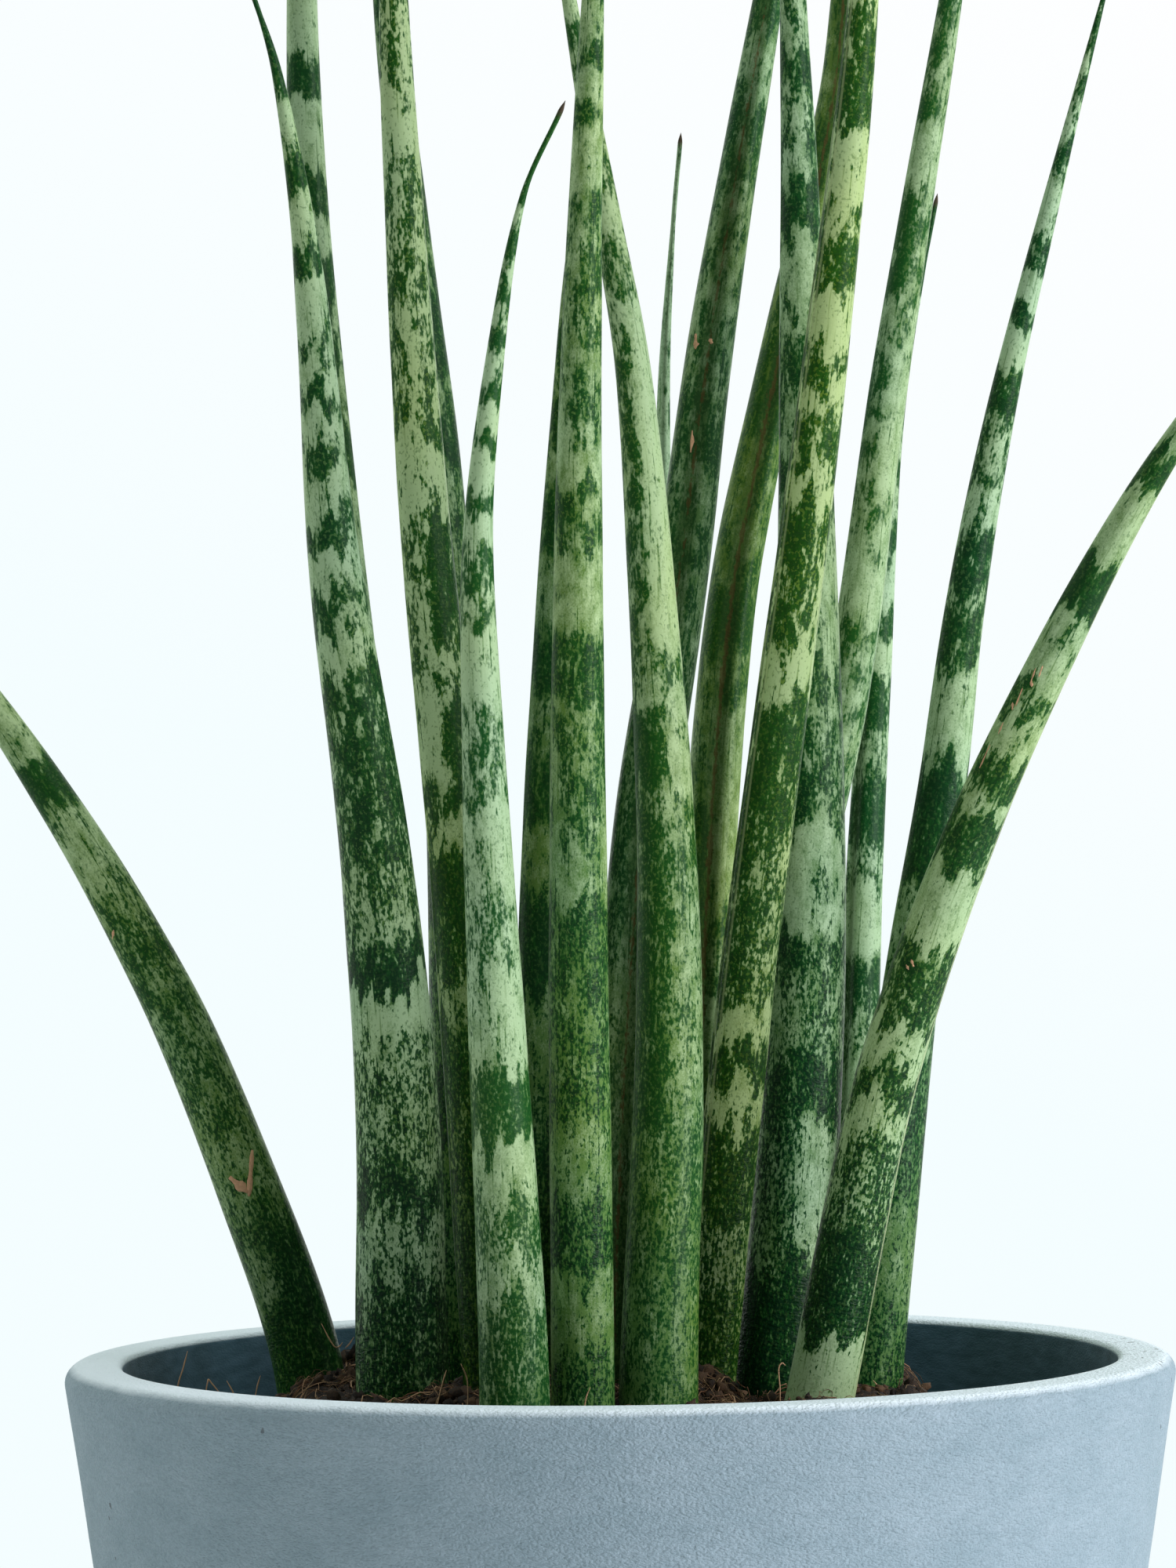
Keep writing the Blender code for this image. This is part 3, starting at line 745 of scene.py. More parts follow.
# %% The leaf's skin
def leaf_skin():
    recipe = Recipe("leaf skin")
    where = attribute(recipe, "straight", "Vector")
    keys = (
        "dark", "margin", "groove", "to_tip", "warmth", "pale", "low_down", "lip", "deepness", "crispness",
    )
    dark, margin, groove, to_tip, warmth, pale_with_foot_shade, finer, lip_highlight_shows, deepness, crispness = (
        attribute(recipe, key) for key in keys
    )

    patches, teeth, flecks, lines, tones, shade, pores, glints, dots, wrinkles = grains(
        recipe, where, LEAF_GRAINS
    )
    lines = above(lines, 0.36, 0.16)
    coarse = patches * (1.0 - finer * 0.6) + teeth * (0.65 - finer * 0.2)
    edge = dark - 0.5 + coarse + flecks * (0.65 + finer * 0.7) + lines * 0.25
    pigment = (edge * crispness + 0.45).clamped()
    depth = above(edge, 0.22, 0.45) * deepness * (0.72 + finer * 0.28)

    tone = (warmth + tones * 0.8).clamped()
    olive = over(recipe, tone, OLIVE_COOL, OLIVE_WARM)
    pale = over(recipe, tone, PALE_COOL, PALE_WARM)
    # The ground is kept darker at the foot as painted shade.
    bright = pale_with_foot_shade * 1.15 + 0.05 - dark * 0.5 + shade * 1.2 + flecks * 0.5 + pores * 0.6
    pale = over(recipe, bright.clamped() * (1 - lines * 0.6), olive, pale)
    mid = over(recipe, tone, MID_COOL, MID_WARM)
    deep = over(recipe, tone, DEEP_COOL, DEEP_WARM)
    green = over(recipe, depth, mid, deep)
    green = over(recipe, above(glints, 0.15, 0.12) * (1.5 - dark * 1.4), green, olive)
    pale = over(recipe, above(dots, 0.3, 0.12) * 0.4, pale, mid)
    skin = over(recipe, pigment, pale, green)

    # A pale line along the channel's lips on some leaves is a painted highlight.
    lip = above(margin.size() * -1, -0.24, 0.2) * lip_highlight_shows
    # The channel's inside is painted darker, as the shade in the groove.
    inside = above(groove, 0.4, 0.4)
    seam = above(groove + flecks * 0.3 + shade * 0.3, 0.88, 0.1)
    skin = over(recipe, inside * 0.6, skin, CHANNEL_SHADE)
    skin = over(recipe, seam * 0.7, skin, SEAM)
    skin = over(recipe, lip * 0.7, skin, LIP_HIGHLIGHT)
    tip = above(to_tip * -1, -2.6, 1.6)
    skin = over(recipe, tip, skin, PIN)

    bumps = relief(recipe, 0.5 + wrinkles * (0.25 + depth) + teeth * 0.25 + flecks * 0.15, 0.2, 0.75)
    dullness = 0.38 + flecks * 0.1 + shade * 0.1 + (tip + inside) * 0.4
    return recipe.finish(Base_Color=skin, Roughness=dullness, Normal=bumps, Specular_IOR_Level=0.12)


skin_material = leaf_skin()
for name, leaf in leaf_pieces.items():
    wear(leaf, skin_material)
    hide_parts(name)
print("the leaf's recipe has", len(skin_material.node_tree.nodes), "nodes")

# %% [markdown]
# ## The pot
#
# The pot is turned: a matt blue-grey body with a rounded rim, painted dark inside as shade. We spin the
# wall's outline in fine steps. The outline starts at the middle of the inside floor, climbs the inner wall,
# goes over the rim and down to the underside.

# %% The pot's outline
def arc(centre_x, centre_z, radius, start, end, steps):
    """Points of a round edge, from one angle to another, in degrees."""
    angles = [math.radians(start + (end - start) * i / steps) for i in range(steps + 1)]
    return [(centre_x + radius * math.cos(a), centre_z + radius * math.sin(a)) for a in angles]


def between(first, last, steps):
    """Points on a straight stretch, without its two ends."""
    return [
        (first[0] + (last[0] - first[0]) * i / steps, first[1] + (last[1] - first[1]) * i / steps)
        for i in range(1, steps)
    ]


AT_AXIS = 0.001


def pot_outline():
    """Points of the wall's outline, as distances from the axis and heights."""
    lean = wall_lean()
    floor_radius = pot_inside_radius(FLOOR + INSIDE_ROUND)
    rim_inside = pot_inside_radius(POT_HEIGHT)
    floor_corner = arc(floor_radius - INSIDE_ROUND, FLOOR + INSIDE_ROUND, INSIDE_ROUND, -90, -lean, 8)
    rim_in = arc(
        rim_inside + RIM_INNER_ROUND, POT_HEIGHT - RIM_INNER_ROUND, RIM_INNER_ROUND, 180 - lean, 90, 6
    )
    rim_out = arc(RIM_RADIUS - RIM_OUTER_ROUND, POT_HEIGHT - RIM_OUTER_ROUND, RIM_OUTER_ROUND, 90, -lean, 9)
    foot = arc(FOOT_RADIUS - FOOT_ROUND, FOOT_ROUND, FOOT_ROUND, -lean, -90, 8)
    outline = [(AT_AXIS, FLOOR)] + between((0, FLOOR), floor_corner[0], 8) + floor_corner
    outline += between(floor_corner[-1], rim_in[0], 40) + rim_in
    outline += between(rim_in[-1], rim_out[0], 5) + rim_out
    outline += between(rim_out[-1], foot[0], 56) + foot
    return outline + between(foot[-1], (0, 0), 8) + [(AT_AXIS, 0)]


print(len(pot_outline()), "points in the pot's outline")

# %% [markdown]
# Each point remembers whether it lies on the inside, which is painted darker as shade, and how near it is
# to the rim's edges. The rim is painted paler there: partly wear where hands and watering cans rub it,
# partly a painted sheen of the bright light from above and behind. No such pot comes out true: its rim
# stands a hair high, more so on the right.

# %% Spin the pot
POT_SIDES = 288
POT_WAVER = 0.12
WAVER_ROUND = 2.3
WAVER_TALL = 40
TRUE_MIDDLE = 20
POT_RIPPLE = 0.05
RIPPLE_SIZE = 6
RIM_LIFT = 1.3
RIM_TILT = 0.0044
RIM_POINTS = 4


def fine_pot():
    """The pot's mesh, whose points know whether they lie inside and how far they are below the rim."""
    outline = pot_outline()
    points, inner, below_rim = [], [], []
    top = next(i for i, (_, height) in enumerate(outline) if height > POT_HEIGHT - 0.01)
    for i, (radius, height) in enumerate(outline):
        for j in range(POT_SIDES):
            angle = -2 * math.pi * j / POT_SIDES
            around = Vector((math.cos(angle), math.sin(angle), height / WAVER_TALL))
            waver = POT_WAVER * noise.noise(around * WAVER_ROUND) * min(radius / TRUE_MIDDLE, 1)
            spot = [part / RIPPLE_SIZE for part in (around.x * radius, around.y * radius, height)]
            waver += POT_RIPPLE * noise.noise(Vector(spot))
            reach = radius - waver if i < top else radius + waver
            x, y = math.cos(angle) * reach, math.sin(angle) * reach
            lift = (RIM_LIFT + RIM_TILT * x) * height / POT_HEIGHT
            points.append(Vector((x, y, height + lift)) * MM)
            inner.append(1.0 if i < top - RIM_POINTS else 0.0)
            below_rim.append(POT_HEIGHT - height)
    return new_piece("pot_shell", points, tube(len(outline), POT_SIDES), inner=inner, below_rim=below_rim)


pot = fine_pot()
print("pot faces:", len(pot.data.polygons))

# %% [markdown]
# The surface is like fine sandstone: a pebbly grain under a millimetre, soft blotches the size of a
# fingertip, and a few dark specks.

# %% The pot's finish
POT_BODY = (0.27, 0.37, 0.43)
POT_PALE = (0.35, 0.45, 0.52)
POT_GRAIN = (0.14, 0.20, 0.23)
RIM_SHEEN_AND_WEAR = (0.82, 0.93, 1.0)
INSIDE_SHADE = (0.020, 0.075, 0.105)
INSIDE_WORN_SHEEN = (0.09, 0.18, 0.26)
SPECK = (0.05, 0.05, 0.05)
POT_GRAINS = {
    "pebbles": (1.4, 2.0, 0.45),
    "sand": (0.6, 1.0, 0.5),
    "blotches": (14.0, 4.0, 0.6),
    "smears": (5.0, 3.0, 0.32),
    "specks": (1.7, 0.0),
    "clusters": (30.0, 1.0),
    "dirt": (1.3, 0.0),
}


def pot_finish():
    recipe = Recipe("pot blue grey")
    where = in_millimetres(recipe)
    inner = attribute(recipe, "inner")
    below_rim = attribute(recipe, "below_rim")
    pebbles, sand, blotches, smears, specks, clusters, dirt = grains(recipe, where, POT_GRAINS)
    body = over(recipe, (0.4 + blotches + smears * 0.6).clamped(), POT_BODY, POT_PALE)
    body = over(recipe, (0.3 + pebbles * 0.8 + sand).clamped() * 0.45, body, POT_GRAIN)
    # The rim is painted paler: partly wear, partly a painted sheen of the light from above and behind.
    rim_wear_and_sheen = above(below_rim * -1 + smears * 0.3, -0.7, 1.0)
    body = over(recipe, rim_wear_and_sheen * 0.9, body, RIM_SHEEN_AND_WEAR)
    specks = above(specks, 0.52, 0.03) * above(clusters, 0.14, 0.1)
    to_right = recipe.node("SeparateXYZ", None, {"Vector": where}, output=0)
    dirt = above(dirt, 0.38, 0.05) * above(to_right, 89.0, 8.0) * rim_wear_and_sheen
    body = over(recipe, specks.most(dirt) * 0.7, body, SPECK)
    # The inside is a dark colour as painted shade, with pale blotches that are partly dust and partly a
    # painted reflection.
    inside_shade_dust_sheen = over(recipe, (0.4 + smears * 1.2).clamped() * 0.6, INSIDE_SHADE, INSIDE_WORN_SHEEN)
    colour = over(recipe, inner, body, inside_shade_dust_sheen)
    height = 0.5 + (pebbles * 0.6 + sand * 0.9 + smears * 0.15) * (1 - inner * 0.8)
    bumps = relief(recipe, height, 0.3, 0.85)
    dullness = 0.75 + sand * 0.1
    return recipe.finish(Base_Color=colour, Roughness=dullness, Normal=bumps, Specular_IOR_Level=0.4)


wear(pot, pot_finish())
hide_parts("pot")
print("pot finished")

# %% [markdown]
# ## The compost
#
# The compost is peaty and open. Its body is the plain mound with rough clods, small heaps against some of
# the leaves, shallow hollows at the front right and a slump on the right. On top lie crumbs, a few chips
# of bark and curled coconut fibres, which catch the light round the feet of the leaves.

# %% The mound
WALL_REACH = 88
LUMP_LENGTH = 9
LUMP_TWIST = 23
LUMPS_ROUND = 3
LEVEL_MIDDLE = 12


def mound_depth(radius, angle):
    """How far the compost lies below the rim: nearly level among the leaves, then falling to the wall."""
    outside = pot_inside_radius(POT_HEIGHT - EDGE_DEPTH)
    fall = min(max((radius - MOUND_RADIUS) / (outside - MOUND_RADIUS), 0), 1)
    level = MOUND_DEPTH + (EDGE_DEPTH - MOUND_DEPTH) * math.sin(fall * math.pi / 2)
    lumps = math.sin(radius / LUMP_LENGTH + 2 * math.sin(angle))
    lumps *= math.cos(LUMPS_ROUND * angle + radius / LUMP_TWIST)
    return level + SOIL_LUMP * lumps * (1 - fall) * min(radius / LEVEL_MIDDLE, 1)


CLODS = [(7, 3, 1.3), (2.6, 9, 1.1), (1.1, 17, 0.45)]


def rough(x, y):
    """The height that clods of three widths add at a place, in millimetres."""
    height = 0
    for width, layer, tall in CLODS:
        height += tall * noise.noise(Vector((x / width, y / width, layer)))
    return height


HEAPS = [
    (-49, -7, 7, 1.2), (-46, 5, 6, 5.5), (-30, -38, 8, 1.6), (10, -29, 6, 5.5), (17.5, -27, 4, 3.5),
    (48.8, -9, 2.3, 5), (-60, -9, 7, 1.5), (-12, -20, 9, 2.0), (25, -23, 6, -5), (26, -37, 6, -3),
    (26, -50, 6, -2),
]
SLUMP_FROM = 51.5
SLUMP_DEPTH = 6.0
SLUMP_WIDTH = 7
ROUGH_FADE = 6
SLUMP_FADE = 8
HEAP_SKIRT = 1.5


def soil_top(x, y):
    """The height of the compost above the pot's underside."""
    radius = math.hypot(x, y)
    to_wall = WALL_REACH - radius
    top = POT_HEIGHT - mound_depth(radius, math.atan2(y, x)) + rough(x, y) * min(to_wall / ROUGH_FADE, 1)
    top -= SLUMP_DEPTH * rise((x - SLUMP_FROM) / SLUMP_WIDTH) * min(to_wall / SLUMP_FADE, 1)
    for heap_x, heap_y, spread, height in HEAPS:
        away = math.hypot(x - heap_x, y - heap_y) / spread
        top += height * rise(1 - away / HEAP_SKIRT)
    return top


print("the compost is", round(POT_HEIGHT - soil_top(0, 0), 1), "mm below the rim at the middle")

# %% The body of the compost
SOIL_RINGS = 110
SOIL_SIDES = 360


def fine_soil():
    """The compost's mesh: rings over its rough top, then the plain body that stands inside the pot."""
    edge_radius = pot_inside_radius(POT_HEIGHT - EDGE_DEPTH) - GAP
    corner_at = pot_inside_radius(FLOOR + INSIDE_ROUND) - INSIDE_ROUND
    rounds = [(edge_radius * i / SOIL_RINGS, None) for i in range(1, SOIL_RINGS + 1)]
    rounds += arc(corner_at, FLOOR + INSIDE_ROUND, INSIDE_ROUND - GAP, -wall_lean(), -90, 4)
    rounds.append((1.0, FLOOR + GAP))
    points = []
    for radius, height in rounds:
        for j in range(SOIL_SIDES):
            angle = -2 * math.pi * j / SOIL_SIDES
            x, y = math.cos(angle) * radius, math.sin(angle) * radius
            points.append(Vector((x, y, soil_top(x, y) if height is None else height)) * MM)
    return new_piece("compost", points, tube(len(rounds), SOIL_SIDES))


soil = fine_soil()
print("compost faces:", len(soil.data.polygons))

# %% [markdown]
# Crumbs and chips are scattered by a seeded draw, so that they fall the same way each time. None may lie
# inside a leaf, so each place is tried against the leaves' feet first.

# %% Where crumbs may lie
RANDOM = random.Random(19)
ON_HEAPS = 0.35
HEAP_SCATTER = 0.5
FEET = {}
for name, (width, _, _, points) in LEAVES.items():
    spots, _ = centre_line(points, 60)
    at_top = min(spots[:20], key=lambda spot: abs(spot.z - (POT_HEIGHT - MOUND_DEPTH) * MM))
    FEET[name] = (at_top, width / 2)


def clear_of_leaves(x, y, room):
    """True where a crumb of that radius lies outside every leaf."""
    return all(math.hypot(x - at.x / MM, y - at.y / MM) > radius + room for at, radius in FEET.values())


def scatter_spot(most, room):
    """A free place on the compost, within a radius of the pot's axis, now and then on a heap."""
    while True:
        if RANDOM.random() < ON_HEAPS:
            x, y, spread, _ = RANDOM.choice(HEAPS)
            x += RANDOM.gauss(0, spread * HEAP_SCATTER)
            y += RANDOM.gauss(0, spread * HEAP_SCATTER)
        else:
            radius = most * math.sqrt(RANDOM.random())
            angle = RANDOM.uniform(0, 2 * math.pi)
            x, y = radius * math.cos(angle), radius * math.sin(angle)
        if clear_of_leaves(x, y, room):
            return x, y


print("a free place:", [round(part, 1) for part in scatter_spot(80, 1)])

# %% Crumbs and bark
LUMP_RINGS = 4
LUMP_SIDES = 6
LUMP_CAP = 0.35
LUMP_NOISE = 1.7
CRUMB_REACH = 84
CRUMB_WIDTHS = (0.6, 0.95)
CRUMB_HEIGHTS = (0.7, 1.2)
CRUMB_LIFT = 0.35


def lump(centre, sizes, turn, roughness, points, faces):
    """Adds a small rough body: a ball of a few rings, pushed about by noise."""
    start = len(points)
    matrix = turn.to_matrix()
    for i in range(LUMP_RINGS + 1):
        tilt = math.pi * (i + LUMP_CAP) / (LUMP_RINGS + 2 * LUMP_CAP)
        for j in range(LUMP_SIDES):
            angle = 2 * math.pi * j / LUMP_SIDES
            wide = math.sin(tilt)
            way = Vector((wide * math.cos(angle), wide * math.sin(angle), -math.cos(tilt)))
            reach = 1 + roughness * noise.noise(way * LUMP_NOISE + centre)
            body = Vector([part * size for part, size in zip(way, sizes)]) * reach
            points.append((centre + matrix @ body) * MM)
    faces += tube(LUMP_RINGS + 1, LUMP_SIDES, start)


def random_turn(tilt, spin):
    """A turn by up to the tilt about X and Y, and up to the spin about Z."""
    return Euler([RANDOM.uniform(*tilt), RANDOM.uniform(*tilt), RANDOM.uniform(*spin)])


def make_crumbs(name, count, small, large, flat, roughness, tilt, spin):
    """Many lumps in one piece. Flat ones are chips, which lie nearly level."""
    points, faces, shades = [], [], []
    for _ in range(count):
        size = small + (large - small) * RANDOM.random() ** 3
        x, y = scatter_spot(CRUMB_REACH, size * 0.5)
        sizes = (size, size * RANDOM.uniform(*CRUMB_WIDTHS), size * flat * RANDOM.uniform(*CRUMB_HEIGHTS))
        centre = Vector((x, y, soil_top(x, y) + sizes[2] * CRUMB_LIFT))
        lump(centre, sizes, random_turn(tilt, spin), roughness, points, faces)
        shades += [RANDOM.random()] * (len(points) - len(shades))
    return new_piece(name, points, faces, shade=shades)


FULL_TURN = (0, 2 * math.pi)
crumbs = make_crumbs("compost_crumbs", 3200, 0.3, 1.7, 0.7, 1.0, FULL_TURN, FULL_TURN)
chips = make_crumbs("bark_chips", 60, 1.2, 3.0, 0.28, 0.9, (-0.5, 0.5), (0, 6.3))
print("crumb faces:", len(crumbs.data.polygons), "chip faces:", len(chips.data.polygons))

# %% [markdown]
# A coconut fibre is a thin springy thread that curls where it likes. Each is a walk of short steps that
# bends a little at each step and stays just above the compost. A dozen stiff hairs that stand up are
# given by marks instead. A tube of four sides is plenty for a thread a fifth of a millimetre thick. The
# finer ones mat into a felt, most of all on the heaps.

# %% A thread as a tube
THREAD_SIDES = 4
THREAD_END = 0.35
THREAD_ASKEW = Vector((0.3, 0.2, 1))
FIBRE_START = 80
FIBRE_LIMIT = 82
FIBRE_LIFT = 0.25
FIBRE_CLIMB = 0.004
FIBRE_STEP = 1.2
FEWEST_STEPS = 6
BEND_CHANGE = 0.35


def thread(path, thickness, points, faces):
    """Adds a thin tube along a path in millimetres, thinner at its ends."""
    start = len(points)
    rows = len(path)
    for i, spot in enumerate(path):
        along = (path[min(i + 1, rows - 1)] - path[max(i - 1, 0)]).normalized()
        side = along.cross(THREAD_ASKEW).normalized()
        up = side.cross(along)
        ends = min(i, rows - 1 - i) / 3
        radius = thickness / 2 * min(THREAD_END + (1 - THREAD_END) * ends, 1)
        for j in range(THREAD_SIDES):
            angle = 2 * math.pi * j / THREAD_SIDES
            points.append((spot + (side * math.cos(angle) + up * math.sin(angle)) * radius) * MM)
    faces += tube(rows, THREAD_SIDES, start)


def lying_path(length, curl, lift):
    """A curled walk over the compost."""
    x, y = scatter_spot(FIBRE_START, 0.5)
    heading = RANDOM.uniform(0, 2 * math.pi)
    bend = RANDOM.uniform(-curl, curl)
    steps = max(int(length / FIBRE_STEP), FEWEST_STEPS)
    step = length / steps
    path = []
    for i in range(steps):
        bend += RANDOM.uniform(-curl, curl) * BEND_CHANGE
        heading += bend
        ahead = (x + step * math.cos(heading), y + step * math.sin(heading))
        if clear_of_leaves(*ahead, 0.2):
            x, y = ahead
        if math.hypot(x, y) > FIBRE_LIMIT:
            break
        arch = lift * math.sin(math.pi * i / (steps - 1))
        path.append(Vector((x, y, soil_top(x, y) + FIBRE_LIFT + arch + i * FIBRE_CLIMB)))
    return path


print("a thread's path has", len(lying_path(20, 0.3, 1)), "points")

# %% Fibres
FIBRE_CURLS = (0.1, 0.5)
FIBRE_LIFTS = (0, 1.8)
HAIR_WIDTH = 0.26
HAIR_STEPS = 5
HAIRS = [
    [(-80, -7, -12), (-79.4, -8, -3), (-78.4, -8, 0.4), (-77.6, -8, 3.4)],
    [(-74.5, -14, -8), (-73.6, -14, -1.2), (-73.0, -14, -1.8), (-71.4, -15, -3.6)],
    [(-70.4, -12, -1.6), (-69.2, -13, -3.6), (-68.4, -13, -6)],
    [(-65.6, -12, -6), (-65.0, -11, -2.8), (-64.4, -11, -0.8)],
    [(-53.6, -8, 8.2), (-51.3, -9, 4.2), (-50.4, -8, 4.0), (-49.8, -8, 4.8)],
    [(-47.8, -7, 5.6), (-48.6, -7, 4.4), (-49.4, -7, 3.6)],
    [(-32.6, -46, -5), (-31.6, -46, -1.4), (-30.8, -46, 1.6), (-30.3, -46, 3.2)],
    [(-31.6, -46, -1.4), (-32.8, -46, 0.6)],
    [(-26.9, -47, -5), (-26.6, -47, -1), (-26.8, -47, 2), (-27.8, -47, 4.4)],
    [(27.5, -42, -6), (27.6, -42, -1), (27.4, -42, 2.6), (27.9, -42, 3.6), (28.6, -42, 3.2)],
    [(44.6, -24, -1.2), (45.5, -24, -2.4), (46.6, -24, -5)],
    [(-7, -55, -7), (-6.2, -56, -1), (-5.4, -56, 1.0)],
]


def make_fibres(name, count, lengths, widths, hairs=()):
    """Fibres that lie where they fell, and stiff hairs through marks whose heights are above the rim."""
    threads = []
    for _ in range(count):
        length = RANDOM.uniform(*lengths)
        path = lying_path(length, RANDOM.uniform(*FIBRE_CURLS), RANDOM.uniform(*FIBRE_LIFTS))
        if len(path) > 4:
            threads.append((path, RANDOM.uniform(*widths), RANDOM.random()))
    for marks in hairs:
        path = smooth([Vector((x, y, POT_HEIGHT + z)) for x, y, z in marks], HAIR_STEPS)
        threads.append((path, HAIR_WIDTH, 1.0))
    points, faces, shades = [], [], []
    for path, thickness, shade in threads:
        thread(path, thickness, points, faces)
        shades += [shade] * (len(points) - len(shades))
    return new_piece(name, points, faces, shade=shades)


fibres = make_fibres("coir_fibres", 320, (7, 22), (0.14, 0.3), HAIRS)
felt = make_fibres("coir_felt", 1500, (3, 10), (0.09, 0.2))
print("fibre faces:", len(fibres.data.polygons), "felt faces:", len(felt.data.polygons))

# %% [markdown]
# The compost's body is almost black with brown bits. Crumbs run from black to rusty brown, bark is
# redder, and the fibres are straw and rust. One recipe serves all the scattered pieces, with other
# colours each time.

# %% The compost's finishes
PEAT_BLACK = (0.005, 0.003, 0.002)
PEAT_BROWN = (0.028, 0.015, 0.008)
PEAT_DULL = (0.02, 0.011, 0.008)
CRUMB_BLACK = (0.008, 0.005, 0.003)
RUSTY = (0.12, 0.065, 0.03)
BARK_DARK = (0.03, 0.014, 0.008)
BARK_RED = (0.22, 0.10, 0.05)
COIR_RUST = (0.14, 0.06, 0.025)
COIR_STRAW = (0.56, 0.35, 0.20)
FELT_RUST = (0.05, 0.025, 0.012)
FELT_STRAW = (0.38, 0.25, 0.12)
PEAT_GRAINS = {
    "bits": (1.4, 3.0),
    "dust": (0.35, 1.0),
    "patches": (9.0, 2.0),
}


def compost_finish():
    recipe = Recipe("compost body")
    bits, dust, patches = grains(recipe, in_millimetres(recipe), PEAT_GRAINS)
    colour = over(recipe, (0.4 + bits).clamped(), PEAT_BLACK, PEAT_BROWN)
    colour = over(recipe, above(bits + dust, 0.3, 0.15), colour, RUSTY)
    colour = over(recipe, (0.3 + patches).clamped() * 0.5, colour, PEAT_DULL)
    bumps = relief(recipe, 0.5 + bits * 0.7 + dust * 0.4, 0.5, 0.9)
    return recipe.finish(Base_Color=colour, Roughness=0.93 + dust * 0.05, Normal=bumps)


def bits_finish(name, dark_bits, light_bits, grain_size, stretch=1.0):
    recipe = Recipe(name)
    shade = attribute(recipe, "shade")
    streaks = grain(recipe, in_millimetres(recipe), grain_size, 3.0, stretch)
    colour = over(recipe, (shade * shade + streaks * 0.6).clamped(), dark_bits, light_bits)
    bumps = relief(recipe, 0.5 + streaks, 0.15, 0.8)
    return recipe.finish(Base_Color=colour, Roughness=0.85 + streaks * 0.1, Normal=bumps)


wear(soil, compost_finish())
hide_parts("soil")
wear(crumbs, bits_finish("compost crumbs", CRUMB_BLACK, RUSTY, 0.5))
wear(chips, bits_finish("bark", BARK_DARK, BARK_RED, 0.6, 3.0))
wear(fibres, bits_finish("coir", COIR_RUST, COIR_STRAW, 0.8))
wear(felt, bits_finish("coir felt", FELT_RUST, FELT_STRAW, 0.8))
print("compost finished")

# %% [markdown]
# ## Scars
#
# Where a leaf was scratched it heals with a thin crust of orange-brown cork. Each scar is a low ridge
# that follows the leaf's surface, between spots given as a distance above the foot and a place across the
# front.

# %% A spot on a leaf's front
LINE_STEPS = 200


def on_leaf(name, distance, across):
    """The point on the front of a leaf, as seen from -Y, and the way out of the skin there."""
    share = distance / LENGTHS[name]
    spots, _ = centre_line(LEAVES[name][3], LINE_STEPS)
    i = min(max(round(share * LINE_STEPS), 1), LINE_STEPS - 1)
    along, front, side = ring_frame(name, spots, i)
    spot = spots[i - 1].lerp(spots[i + 1], (share * LINE_STEPS - i + 1) / 2)
    towards = Vector((0, -1, 0))
    near = (towards - along * towards.dot(along)).normalized()
    right = near.cross(along) * -1
    out = right * across + near * math.sqrt(1 - across * across)
    turn = math.degrees(math.atan2(out.dot(side), out.dot(front)))
    reach = leaf_radius(name, share) * (1 - pressed_in(turn, share))
    return spot + out * reach * MM, out


print("a spot on leaf_01:", [round(part / MM) for part in on_leaf("leaf_01", 70, 0)[0]])

# %% Scars on three leaves
CORK_BROWN = (0.36, 0.18, 0.09)
CORK_ORANGE = (0.78, 0.46, 0.27)
CORK_SHADE = 0.8
SCAR_STEPS = 7
SCAR_END = 0.25
SCAR_RAGGED = 0.35
SCAR_LOOK_AHEAD = 0.05
SCAR_SECTION = [(-1, -0.12), (-0.55, 0.08), (0, 0.14), (0.55, 0.08), (1, -0.12), (0, -0.3)]
SCARS = {
    "leaf_01": [
        ((65.2, 0.0), (72.6, 0.6), 1.3), ((65.8, 0.02), (69.6, -0.36), 1.8),
        ((117.5, -0.82), (118.8, -0.6), 0.8),
    ],
    "leaf_17": [
        ((165.5, -0.28), (163.5, -0.22), 0.5), ((164.6, -0.5), (161.8, -0.42), 0.5),
        ((162.3, -0.42), (161.4, -0.3), 0.8), ((160.4, -0.62), (157.2, -0.55), 0.5),
        ((157.4, -0.72), (156.3, -0.6), 0.8), ((153.6, -0.7), (151.4, -0.68), 0.5),
        ((149.0, -0.78), (144.6, -0.76), 0.4), ((109.6, -0.45), (108.6, -0.3), 0.8),
        ((108.4, -0.55), (107.8, -0.42), 0.7),
    ],
    "leaf_09": [
        ((219.0, -0.7), (216.2, -0.62), 1.3), ((218.4, -0.1), (217.6, 0.05), 1.0),
        ((201.5, -0.32), (197.5, -0.28), 0.8),
    ],
}


def add_scar(name, first, last, width, points, faces):
    """A ridge of cork from the first spot to the last, thin at both ends and ragged."""
    start = len(points)
    length, sideways = last[0] - first[0], last[1] - first[1]
    for i in range(SCAR_STEPS):
        share = i / (SCAR_STEPS - 1)
        distance = first[0] + length * share
        across = first[1] + sideways * share
        middle, out = on_leaf(name, distance, across)
        ahead, _ = on_leaf(
            name, distance + length * SCAR_LOOK_AHEAD, across + sideways * SCAR_LOOK_AHEAD
        )
        flat = (ahead - middle).normalized().cross(out).normalized()
        swelling = math.sin(math.pi * (0.08 + 0.84 * share))
        half = width / 2 * (SCAR_END + (1 - SCAR_END) * swelling) * MM
        ragged = 1 + SCAR_RAGGED * math.sin(9 * share + start)
        for along_width, lift in SCAR_SECTION:
            points.append(middle + flat * half * ragged * along_width + out * lift * MM)
    faces += tube(SCAR_STEPS, len(SCAR_SECTION), start)


def make_scars():
    points, faces = [], []
    for name, scars_here in SCARS.items():
        for first, last, width in scars_here:
            add_scar(name, first, last, width, points, faces)
    return new_piece("leaf_scars", points, faces, shade=[CORK_SHADE] * len(points))


